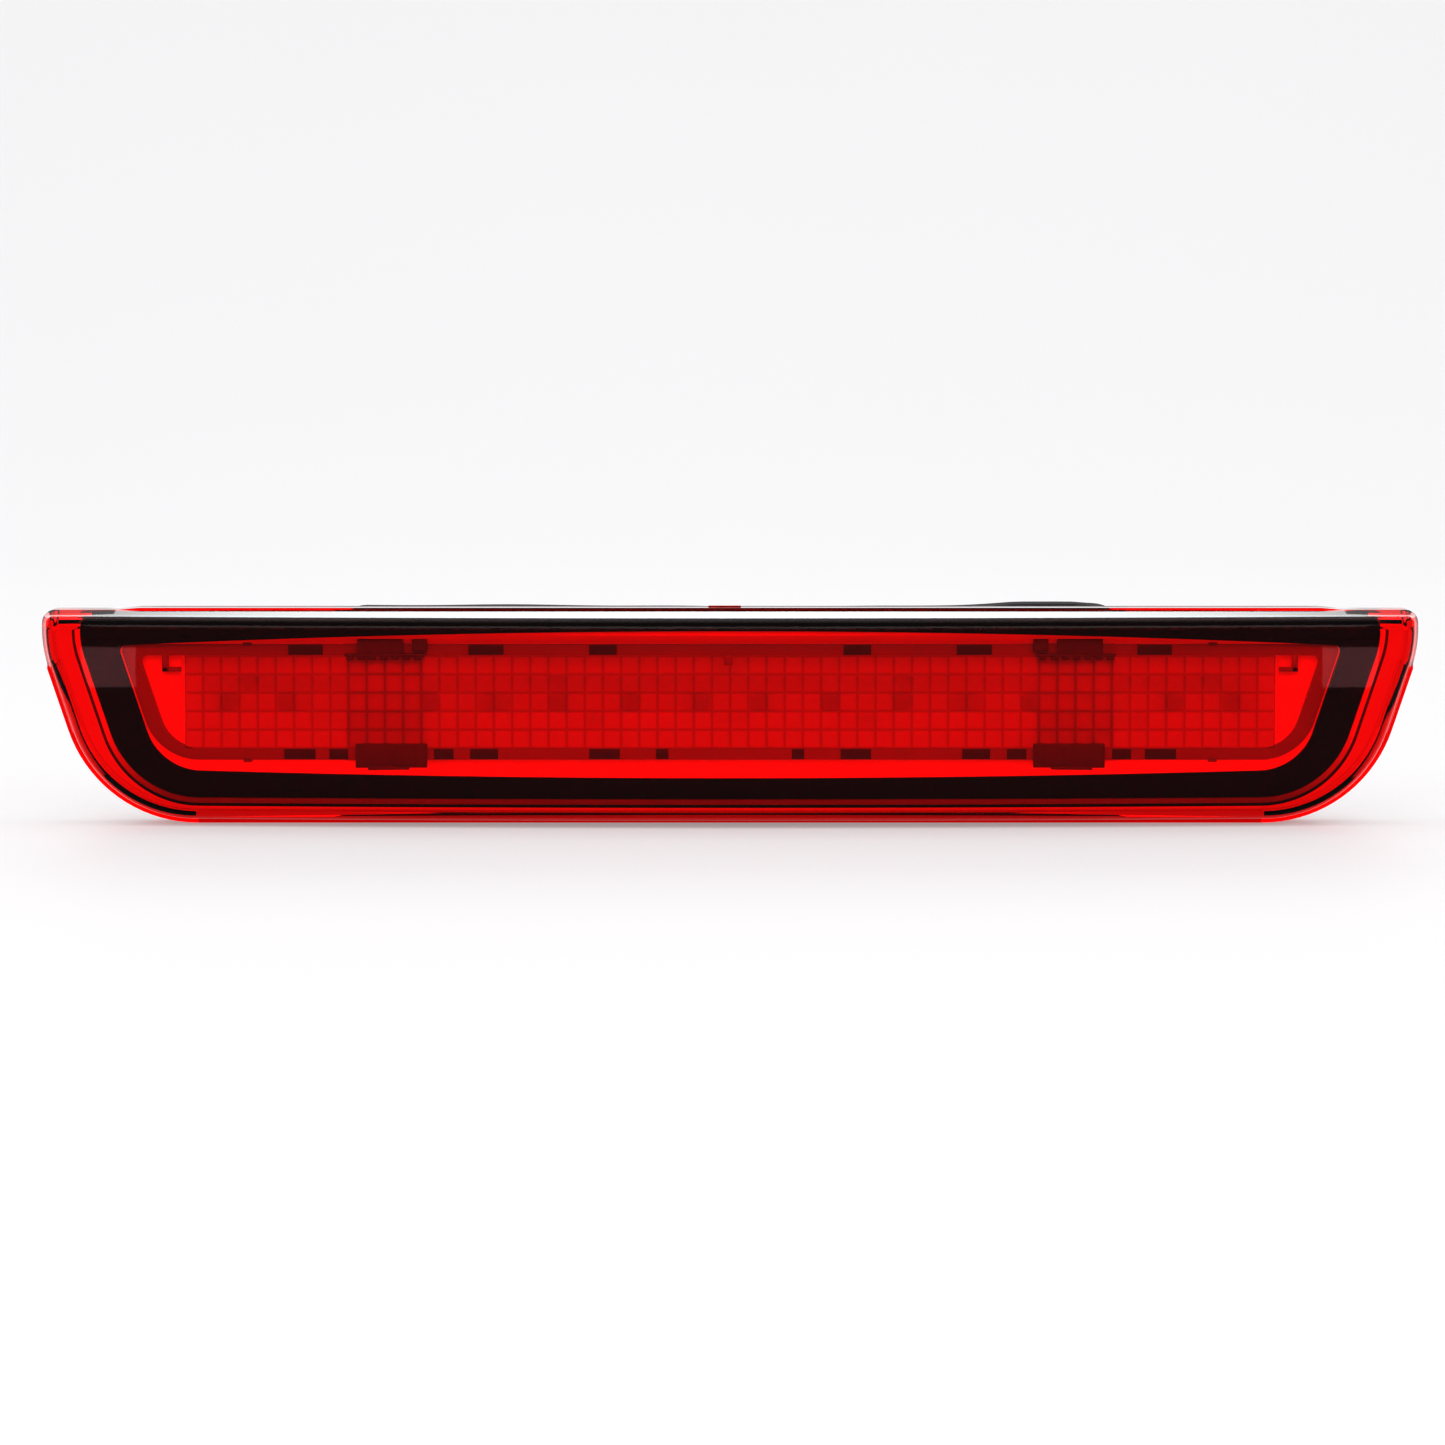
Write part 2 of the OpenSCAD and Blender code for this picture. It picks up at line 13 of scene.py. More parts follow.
import bmesh
import bpy
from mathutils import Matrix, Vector


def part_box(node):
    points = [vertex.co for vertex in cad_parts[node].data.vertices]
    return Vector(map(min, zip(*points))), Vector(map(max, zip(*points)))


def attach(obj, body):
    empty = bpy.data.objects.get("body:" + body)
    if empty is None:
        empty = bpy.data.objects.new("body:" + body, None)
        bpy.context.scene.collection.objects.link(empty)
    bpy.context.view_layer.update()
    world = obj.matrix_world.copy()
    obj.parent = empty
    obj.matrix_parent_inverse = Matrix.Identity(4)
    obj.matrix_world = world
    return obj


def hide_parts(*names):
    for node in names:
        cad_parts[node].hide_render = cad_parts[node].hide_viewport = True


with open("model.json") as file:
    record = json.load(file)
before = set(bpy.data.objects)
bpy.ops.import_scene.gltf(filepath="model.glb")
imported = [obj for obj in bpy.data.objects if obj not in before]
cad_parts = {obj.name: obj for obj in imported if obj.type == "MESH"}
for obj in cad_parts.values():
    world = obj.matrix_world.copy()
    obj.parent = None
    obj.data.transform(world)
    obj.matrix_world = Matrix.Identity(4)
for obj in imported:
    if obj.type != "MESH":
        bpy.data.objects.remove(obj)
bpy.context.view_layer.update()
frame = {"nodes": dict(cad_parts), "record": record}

Point2 = tuple[float, float]
Point3 = tuple[float, float, float]
Ring = list[Point3]
Colour = tuple[float, float, float]

log = logging.getLogger("stop_lamp")
MM = 0.001
LAMP = "lamp"


class Station(Enum):
    """Side of the lamp, seen from the front."""

    LEFT = -1
    RIGHT = 1


class Grain(Enum):
    """Surface grain of a moulded piece, with its cells per metre."""

    POLISHED = 60.0
    SATIN = 900.0
    SPARK = 2600.0


# ---------------------------------------------------------------- finishes


class Nodes:
    """A thin wrapper that adds and links the nodes of one material."""

    def __init__(self, name: str) -> None:
        """Starts an empty node material with that name."""
        self.material = bpy.data.materials.new(name)
        self.material.use_nodes = True
        self.tree = self.material.node_tree
        self.tree.nodes.clear()
        self.output = self.tree.nodes.new("ShaderNodeOutputMaterial")

    def add(
        self, kind: str, inputs: dict[str | int, object] | None = None, **settings: object
    ) -> bpy.types.Node:
        """Adds a node.

        Args:
            kind: The node's type without its ShaderNode prefix.
            inputs: Values or output sockets for its input sockets.
            settings: Attributes to set on the node.

        Returns:
            The new node.
        """
        node = self.tree.nodes.new("ShaderNode" + kind)
        for key, value in settings.items():
            setattr(node, key, value)
        for key, value in (inputs or {}).items():
            self.feed(node.inputs[key], value)
        return node

    def feed(self, socket: bpy.types.NodeSocket, value: object) -> None:
        """Links an output socket, or sets a plain value, on an input socket."""
        if isinstance(value, bpy.types.NodeSocket):
            self.tree.links.new(value, socket)
        elif isinstance(value, tuple) and len(value) == 3 and socket.type == "RGBA":
            socket.default_value = (*value, 1.0)
        else:
            socket.default_value = value

    def place(self) -> bpy.types.NodeSocket:
        """Returns the object's own coordinates, in metres."""
        return self.add("TexCoord").outputs["Object"]

    def noise(self, scale: float, detail: float = 3.0) -> bpy.types.NodeSocket:
        """Returns a noise of that many cells per metre."""
        inputs = {"Vector": self.place(), "Scale": scale, "Detail": detail, "Roughness": 0.5}
        return self.add("TexNoise", inputs).outputs["Fac"]

    def cells(self, scale: float) -> bpy.types.NodeSocket:
        """Returns the distance field of round cells, that many per metre."""
        return self.add("TexVoronoi", {"Vector": self.place(), "Scale": scale}).outputs["Distance"]

    def spread(self, value: bpy.types.NodeSocket, low: float, high: float) -> bpy.types.NodeSocket:
        """Returns a 0 to 1 value spread over a new range."""
        inputs = {"Value": value, "To Min": low, "To Max": high}
        return self.add("MapRange", inputs).outputs["Result"]

    def blend(self, share: object, first: object, second: object) -> bpy.types.NodeSocket:
        """Returns a mix of two colours."""
        node = self.add("Mix", data_type="RGBA")
        self.feed(node.inputs[0], share)
        self.feed(node.inputs[6], first)
        self.feed(node.inputs[7], second)
        return node.outputs[2]

    def bump(self, height: bpy.types.NodeSocket, depth_mm: float) -> bpy.types.NodeSocket:
        """Returns a normal bumped by a height of 0 to 1 over that depth."""
        return self.add("Bump", {"Height": height, "Distance": depth_mm * MM}).outputs["Normal"]

    def finish(self, shader: bpy.types.Node) -> bpy.types.Material:
        """Connects the last shader and returns the material."""
        self.tree.links.new(shader.outputs[0], self.output.inputs["Surface"])
        return self.material

    def principled(self, inputs: dict[str | int, object]) -> bpy.types.Material:
        """Ends the material with one principled shader and returns it."""
        return self.finish(self.add("BsdfPrincipled", inputs))


@dataclass(frozen=True)
class ClearMoulding:
    """Clear coloured acrylic that bends what is behind it and lets lamps through."""

    name: str
    tint: Colour = (0.96, 0.002, 0.004)
    ior: float = 1.49
    dulled: float = 0.028
    haze: float = 0.0
    flow_mm: float = 0.004
    # How much the tint darkens in the seams: painted shade in the creases between cells.
    seam_shade: float = 0.0
    seam_width: float = 0.22
    cell_mm: Point2 = (5.0, 5.1)
    cell_start: Point2 = (0.0, 21.2)

    def seams(self, nodes: Nodes) -> bpy.types.NodeSocket:
        """Returns 1 in the seams between its square cells, and 0 on their crowns."""
        parts = nodes.add("SeparateXYZ", {0: nodes.place()})
        shares = []
        for axis, cell, start in zip(("X", "Z"), self.cell_mm, self.cell_start):
            place = {0: parts.outputs[axis], 1: start * MM}
            moved = nodes.add("Math", place, operation="SUBTRACT").outputs[0]
            halves = nodes.add("Math", {0: moved, 1: cell * MM / 2}, operation="DIVIDE").outputs[0]
            wrapped = nodes.add("Math", {0: halves, 1: 1.0}, operation="PINGPONG").outputs[0]
            near_seam = {"Value": wrapped, "From Min": self.seam_width, "From Max": 0.0}
            shares.append(nodes.add("MapRange", near_seam).outputs["Result"])
        return nodes.add("Math", {0: shares[0], 1: shares[1]}, operation="MAXIMUM").outputs[0]

    def material(self) -> bpy.types.Material:
        """Builds the finish with faint moulding flow in its polish and a muted head-on mirror."""
        nodes = Nodes(self.name)
        normal = nodes.bump(nodes.noise(Grain.POLISHED.value, 2.0), self.flow_mm)
        rough = nodes.spread(nodes.noise(350.0), self.haze, self.haze + 0.03)
        # The tint darkens in the seams between the cells: painted shade in the creases.
        tint = nodes.blend(self.seams(nodes), self.tint, tuple(c * (1 - self.seam_shade) for c in self.tint))
        surface = {"Roughness": rough, "Normal": normal}
        bend = nodes.add("BsdfRefraction", {"Color": tint, "IOR": self.ior, **surface})
        mirror = nodes.add("BsdfGlossy", {"Color": (1.0, 1.0, 1.0), **surface})
        fresnel = nodes.add("Fresnel", {"IOR": self.ior, "Normal": normal}).outputs[0]
        share = nodes.add("MapRange", {"Value": fresnel, "From Min": self.dulled}).outputs["Result"]
        body = nodes.add("MixShader", {0: share, 1: bend.outputs[0], 2: mirror.outputs[0]})
        through = nodes.add("BsdfTransparent", {"Color": self.tint})
        shadow = nodes.add("LightPath").outputs["Is Shadow Ray"]
        layers = {0: shadow, 1: body.outputs[0], 2: through.outputs[0]}
        return nodes.finish(nodes.add("MixShader", layers))


@dataclass(frozen=True)
class OpaqueMoulding:
    """A moulded plastic or rubber with grain and faint mottling."""

    name: str
    colour: Colour
    roughness: float
    grain: Grain = Grain.SATIN
    grain_mm: float = 0.01
    mottle: float = 0.12
    shine: float = 0.5
    # Emission on a piece that is no lamp: painted light that brightens it evenly.
    painted_glow: float = 0.0

    def material(self) -> bpy.types.Material:
        """Builds the finish from grain and mottling."""
        nodes = Nodes(self.name)
        mottle = nodes.noise(45.0, 4.0)
        lighter = tuple(min(1.0, c * (1 + self.mottle) + 0.02 * self.mottle) for c in self.colour)
        darker = tuple(c * (1 - self.mottle) for c in self.colour)
        grain = nodes.noise(self.grain.value, 2.0)
        return nodes.principled({
            "Base Color": nodes.blend(mottle, darker, lighter),
            "Roughness": nodes.spread(nodes.noise(160.0), self.roughness * 0.85, self.roughness * 1.15),
            "Specular IOR Level": self.shine,
            # The emission is painted light, not a lamp.
            "Emission Color": self.colour,
            "Emission Strength": self.painted_glow,
            "Normal": nodes.bump(grain, self.grain_mm),
        })


@dataclass(frozen=True)
class Foam:
    """Closed-cell foam with fine open cells on its cut faces."""

    name: str
    colour: Colour = (0.016, 0.016, 0.017)

    def material(self) -> bpy.types.Material:
        """Builds the finish from two sizes of cells."""
        nodes = Nodes(self.name)
        fine, coarse = nodes.cells(2400.0), nodes.cells(900.0)
        height = nodes.add("Math", {0: fine, 1: coarse}, operation="ADD").outputs[0]
        lighter = tuple(2.2 * c for c in self.colour)
        return nodes.principled({
            "Base Color": nodes.blend(fine, lighter, self.colour),
            "Roughness": 0.92,
            "Normal": nodes.bump(height, 0.12),
        })


@dataclass(frozen=True)
class Metal:
    """Drawn or stamped metal with brushing along one axis."""

    name: str
    colour: Colour
    roughness: float = 0.28
    brushed: Point3 = (0.05, 1.0, 1.0)

    def material(self) -> bpy.types.Material:
        """Builds the finish from stretched brushing and faint tarnish."""
        nodes = Nodes(self.name)
        stretched = nodes.add("Mapping", {"Vector": nodes.place(), "Scale": self.brushed}).outputs[0]
        lines = nodes.add("TexNoise", {"Vector": stretched, "Scale": 4000.0, "Detail": 2.0}).outputs["Fac"]
        darker = tuple(0.72 * c for c in self.colour)
        return nodes.principled({
            "Base Color": nodes.blend(nodes.noise(220.0), darker, self.colour),
            "Metallic": 1.0,
            "Roughness": nodes.spread(lines, self.roughness * 0.7, self.roughness * 1.4),
            "Normal": nodes.bump(lines, 0.004),
        })


@dataclass(frozen=True)
class SolderMask:
    """White board with copper tracks raised under its mask."""

    name: str
    mask: Colour = (0.88, 0.87, 0.83)
    track: Colour = (0.92, 0.9, 0.84)
    # Emission on the unlit board: painted light that brightens it behind the optic.
    painted_glow: float = 0.2

    def material(self) -> bpy.types.Material:
        """Builds the finish from long tracks and a finely varied gloss."""
        nodes = Nodes(self.name)
        stretched = nodes.add("Mapping", {"Vector": nodes.place(), "Scale": (0.12, 1.0, 1.0)}).outputs[0]
        tracks = nodes.add("TexVoronoi", {"Vector": stretched, "Scale": 330.0}, distance="CHEBYCHEV")
        reach = {0: tracks.outputs["Distance"], 1: 0.42}
        edge = nodes.add("Math", reach, operation="LESS_THAN").outputs[0]
        return nodes.principled({
            "Base Color": nodes.blend(edge, self.mask, self.track),
            "Emission Color": self.mask,
            "Emission Strength": self.painted_glow,
            "Roughness": nodes.spread(nodes.noise(700.0), 0.22, 0.36),
            "Normal": nodes.bump(edge, 0.03),
        })


@dataclass(frozen=True)
class WeldLine:
    """The weld rib's colour, painted opaque to stand for the light seen through its clear red plastic, with
    painted shade deepening towards the bottom.
    """

    name: str
    low: Colour
    high: Colour
    shade_rise_mm: tuple[float, float] = (8.0, 26.0)

    def material(self) -> bpy.types.Material:
        """Builds the finish from its two colours and a beaded melt."""
        nodes = Nodes(self.name)
        height = nodes.add("SeparateXYZ", {0: nodes.place()}).outputs["Z"]
        limits = {"Value": height, "From Min": self.shade_rise_mm[0] * MM, "From Max": self.shade_rise_mm[1] * MM}
        share = nodes.add("MapRange", limits).outputs["Result"]
        bead = nodes.noise(650.0, 2.0)
        return nodes.principled({
            "Base Color": nodes.blend(share, self.low, self.high),
            "Roughness": nodes.spread(bead, 0.3, 0.55),
            "Specular IOR Level": 0.1,
            "Normal": nodes.bump(bead, 0.08),
        })


# Every finish of the lamp, named as its slot in the record where it has one.
FINISHES = (
    ClearMoulding("lens_red"),
    # The weld rib's colours are painted: lit red where light comes through the clear rib, with painted shade
    # towards the bottom.
    WeldLine("weld_red", (0.22, 0.0, 0.0), (0.9, 0.0, 0.0)),
    # A near-black strip along the rib's outer edge: painted shade, darker towards the bottom.
    WeldLine("weld_painted_shade", (0.002, 0.0, 0.0), (0.1, 0.0, 0.0)),
    # The optic's seams are darkened as painted shade.
    ClearMoulding("optic_red", tint=(0.72, 0.002, 0.004), haze=0.06, seam_shade=0.28),
    ClearMoulding("optic_frost", tint=(0.97, 0.01, 0.01), haze=0.5),
    OpaqueMoulding("frame_grey", (0.3, 0.26, 0.26), 0.35),
    # Dark boxes over the frame's notches: painted shade in the recesses.
    OpaqueMoulding("pocket_painted_shade", (0.045, 0.04, 0.04), 0.35),
    # The strap glows a little: painted light that lightens it behind the optic.
    OpaqueMoulding("strap_smoky", (0.85, 0.8, 0.8), 0.4, painted_glow=0.08),
    OpaqueMoulding("bezel_black", (0.0012, 0.0008, 0.0008), 0.12, Grain.POLISHED, 0.002, shine=0.05),
    # The reflector glows a little: painted light that brightens the rim seen through the window.
    OpaqueMoulding("reflector_bright", (0.94, 0.94, 0.94), 0.3, mottle=0.02, painted_glow=0.22),
    OpaqueMoulding("clip_black", (0.1, 0.08, 0.08), 0.3),
    SolderMask("board_white"),
    OpaqueMoulding("led_body", (0.85, 0.8, 0.55), 0.25, mottle=0.05),
    OpaqueMoulding("chip_black", (0.02, 0.02, 0.022), 0.45),
    OpaqueMoulding("header_cream", (0.82, 0.77, 0.62), 0.4),
    Metal("screw_steel", (0.66, 0.67, 0.7)),
    OpaqueMoulding("lead_red", (0.55, 0.02, 0.02), 0.38),
    OpaqueMoulding("lead_black", (0.015, 0.015, 0.015), 0.38),
    OpaqueMoulding("housing_black", (0.022, 0.022, 0.024), 0.5, Grain.SPARK, 0.02),
    OpaqueMoulding("seal_grey", (0.07, 0.07, 0.075), 0.55),
    Foam("foam_black"),
    Metal("spring_steel", (0.4, 0.41, 0.44), 0.3, (1.0, 0.05, 1.0)),
    Metal("pin_steel", (0.62, 0.62, 0.64), 0.2, (1.0, 1.0, 0.05)),
    OpaqueMoulding("socket_black", (0.028, 0.028, 0.032), 0.42, Grain.SPARK, 0.012),
    OpaqueMoulding("seal_orange", (0.6, 0.17, 0.03), 0.5),
    Metal("terminal_brass", (0.74, 0.62, 0.36), 0.22),
    OpaqueMoulding("membrane_white", (0.82, 0.82, 0.8), 0.8, Grain.SPARK, 0.03),
)


# ---------------------------------------------------------------- geometry


@dataclass(frozen=True)
class Placement:
    """Turns lamp millimetres into frame metres."""

    front_y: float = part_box("outer_lens")[0].y

    def point(self, x: float, depth: float, z: float) -> Vector:
        """Returns the frame point of a place along, behind and above the lamp's datum."""
        return Vector((x * MM, self.front_y + depth * MM, z * MM))

    def depth(self, y: float) -> float:
        """Returns the depth in millimetres of a frame y."""
        return (y - self.front_y) / MM


@dataclass(frozen=True)
class LampOutline:
    """Outline seen from the front: flat bottom, round corners, straight flanks, shoulders and top.

    Inner outlines keep the arcs' centres, so that walls and ribs run parallel.
    """

    width: float = 380.0
    shoulder_r: float = 34.0
    flank_lean: float = 18.6
    corner_r: float = 37.0
    top_r: float = 3.5
    side_z: float = 53.7
    flat_steps: int = 64
    corner_steps: int = 18
    side_steps: int = 14
    top_steps: int = 8

    @property
    def turn_steps(self) -> int:
        """Number of points strictly between the bottom and the top on one side."""
        return self.corner_steps + self.side_steps + self.top_steps - 1

    @staticmethod
    def arc(centre: Point2, radius: float, start: float, end: float, steps: int) -> list[Point2]:
        """Returns points along an arc, ends included."""
        angles = [start + (end - start) * k / steps for k in range(steps + 1)]
        return [(centre[0] + radius * math.cos(a), centre[1] + radius * math.sin(a)) for a in angles]

    def flank_x(self, in_side: float, radius: float, z: float) -> float:
        """Returns where a corner of that radius and height is centred, so that it touches the flank."""
        lean = math.radians(self.flank_lean)
        reach = self.shoulder_r - in_side - radius + (z - self.side_z) * math.sin(lean)
        return self.width / 2 - self.shoulder_r + reach / math.cos(lean)

    def loop(
        self, in_side: float, low: float, high: float, sag: float = 0.0, arch: float = 0.0
    ) -> list[Point2]:
        """Draws one closed loop, bottom first, then the right side, the top and the left side.

        Args:
            in_side: How far the sides stand in from the lamp's own outline.
            low: Height of the bottom.
            high: Height of the top at its corners.
            sag: How far the bottom hangs down in the middle.
            arch: Extra height of the top in the middle.

        Returns:
            The loop's points in X and Z.
        """
        lean = math.radians(self.flank_lean)
        side_r, corner_r = self.shoulder_r - in_side, self.corner_r - in_side
        top_r = max(self.top_r - in_side, self.top_r / 2)
        side_x, corner_z, top_z = self.width / 2 - self.shoulder_r, low + corner_r, high - top_r
        corner_x = self.flank_x(in_side, corner_r, corner_z)
        straight = top_z - self.side_z < (top_r - side_r) * math.sin(lean)
        if straight:
            top_x, crest = self.flank_x(in_side, top_r, top_z), -lean
        else:
            top_x = side_x + math.sqrt((side_r - top_r) ** 2 - (top_z - self.side_z) ** 2)
            crest = math.atan2(top_z - self.side_z, top_x - side_x)
        right = self.arc((corner_x, corner_z), corner_r, -math.pi / 2, -lean, self.corner_steps)[1:]
        if straight:
            x0, z0 = right[-1]
            x1, z1 = self.arc((top_x, top_z), top_r, crest, crest, 1)[0]
            shares = [k / self.side_steps for k in range(1, self.side_steps + 1)]
            right += [(x0 + (x1 - x0) * k, z0 + (z1 - z0) * k) for k in shares]
        else:
            right += self.arc((side_x, self.side_z), side_r, -lean, crest, self.side_steps - 1)
        right += self.arc((top_x, top_z), top_r, crest, math.pi / 2, self.top_steps)[1:-1]
        shares = [2 * i / self.flat_steps - 1 for i in range(self.flat_steps + 1)]
        bottom = [(corner_x * u, low - sag * (1 - u * u)) for u in shares]
        top = [(-top_x * u, high + arch * (1 - u * u)) for u in shares]
        return bottom + right + top + [(-x, z) for x, z in reversed(right)]

    def spine(self, half_length: float, height: float) -> list[Point2]:
        """Returns a point on a level line for every point of a loop, which can close onto it."""
        shares = [2 * i / self.flat_steps - 1 for i in range(self.flat_steps + 1)]
        right = [(half_length, height)] * self.turn_steps
        left = [(-half_length, height)] * self.turn_steps
        bottom = [(half_length * u, height) for u in shares]
        return bottom + right + [(-x, z) for x, z in bottom] + left


@dataclass(frozen=True)
class Bow:
    """The bowed front surface: a large upright cylinder."""

    radius: float = 1700.0

    def depth(self, x: float, setback: float = 0.0) -> float:
        """Returns the depth of the surface at x, set back by a distance."""
        return self.radius - math.sqrt((self.radius - setback) ** 2 - x * x)


class MeshMaker:
    """Collects rings of points in lamp millimetres and joins them into one mesh."""

    def __init__(self, placement: Placement) -> None:
        """Starts an empty mesh in that placement."""
        self.placement = placement
        self.bm = bmesh.new()

    def ring(self, points: Iterable[Point3]) -> list[bmesh.types.BMVert]:
        """Adds one ring of points, each x, depth and z."""
        return [self.bm.verts.new(self.placement.point(*p)) for p in points]

    def bridge(self, first: Sequence[bmesh.types.BMVert], second: Sequence[bmesh.types.BMVert],
               closed: bool = True) -> None:
        """Joins two rings of the same length with quads, leaving out faces of no width."""
        count = len(first)
        for i in range(count if closed else count - 1):
            j = (i + 1) % count
            corners = [first[i], first[j], second[j], second[i]]
            kept = [v for k, v in enumerate(corners) if v not in corners[:k]]
            if len(kept) >= 3:
                self.bm.faces.new(kept)

    def loft(self, rings: Sequence[Ring], around: bool = False) -> list[list[bmesh.types.BMVert]]:
        """Joins rings one after the other, and the last to the first if it goes around."""
        made = [self.ring(r) for r in rings]
        for first, second in zip(made, made[1:]):
            self.bridge(first, second)
        if around:
            self.bridge(made[-1], made[0])
        return made

    def bar(self, rows: Sequence[Ring]) -> None:
        """Makes a bar from the rows along its corners, taken in order round it, and closes both ends."""
        made = [self.ring(row) for row in rows]
        for first, second in zip(made, made[1:] + made[:1]):
            self.bridge(first, second, closed=False)
        for end in (0, -1):
            self.bm.faces.new([row[end] for row in made])

    def cap(self, edge: Sequence[bmesh.types.BMVert], loop: Sequence[Point2], spine: Sequence[Point2],
            depth: Callable[[float, float], float], steps: int = 5) -> None:
        """Closes a ring onto a line inside it.

        Args:
            edge: The ring's vertices.
            loop: The ring's own points in X and Z.
            spine: A point on the line for each of them.
            depth: Gives the depth of the surface at x and z.
            steps: Number of strips between the ring and the line.
        """
        previous = list(edge)
        for k in range(1, steps + 1):
            share = k / steps
            points = [
                (x + (sx - x) * share, z + (sz - z) * share) for (x, z), (sx, sz) in zip(loop, spine)
            ]
            if k < steps:
                current = self.ring((x, depth(x, z), z) for x, z in points)
            else:
                shared: dict[tuple[float, float], bmesh.types.BMVert] = {}
                current = []
                for x, z in points:
                    key = (round(x, 4), round(z, 4))
                    if key not in shared:
                        shared[key] = self.bm.verts.new(self.placement.point(x, depth(x, z), z))
                    current.append(shared[key])
            self.bridge(previous, current)
            previous = current

    def block(self, low: Point3, high: Point3, round_mm: float = 0.0) -> None:
        """Adds a box between two corners, with its edges rounded off."""
        before = set(self.bm.verts)
        bmesh.ops.create_cube(self.bm, size=1.0)
        verts = [v for v in self.bm.verts if v not in before]
        for v in verts:
            share = [c + 0.5 for c in v.co]
            v.co = self.placement.point(*(a + (b - a) * s for a, b, s in zip(low, high, share)))
        if round_mm > 0:
            edges = list({e for v in verts for e in v.link_edges})
            bmesh.ops.bevel(
                self.bm, geom=edges, offset=round_mm * MM, segments=3, affect="EDGES", profile=0.5
            )

    def object(
        self, name: str, material: bpy.types.Material, sharp_deg: float = 35.0
    ) -> bpy.types.Object:
        """Finishes the mesh as a smooth object whose sharp corners stay sharp.

        Args:
            name: The piece's name.
            material: Its finish.
            sharp_deg: Corners over this angle stay sharp.

        Returns:
            The new object.
        """
        bmesh.ops.recalc_face_normals(self.bm, faces=self.bm.faces)
        for edge in self.bm.edges:
            if len(edge.link_faces) == 2:
                edge.smooth = edge.calc_face_angle(0.0) < math.radians(sharp_deg)
        for face in self.bm.faces:
            face.smooth = True
        mesh = bpy.data.meshes.new(name)
        self.bm.to_mesh(mesh)
        self.bm.free()
        mesh.materials.append(material)
        made = bpy.data.objects.new(name, mesh)
        bpy.context.scene.collection.objects.link(made)
        return made


@dataclass(frozen=True)
class Block:
    """A box on the right-hand side of the lamp: its spans along it, behind its face and upward."""

    x: Point2
    depth: Point2
    z: Point2

    def add(self, maker: MeshMaker, station: Station, round_mm: float) -> None:
        """Adds the box on one side of the lamp, with rounded edges."""
        x0, x1 = sorted(station.value * x for x in self.x)
        maker.block((x0, self.depth[0], self.z[0]), (x1, self.depth[1], self.z[1]), round_mm)


def add_piece(piece: bpy.types.Object, body: str, slot: str, *nodes: str) -> bpy.types.Object:
    """Rides a piece on a body and hides the nodes that it stands for."""
    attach(piece, body)
    if nodes:
        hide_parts(*nodes)
    log.info("%s rides on %s", piece.name, body)
    return piece


# ---------------------------------------------------------------- lens and bezel


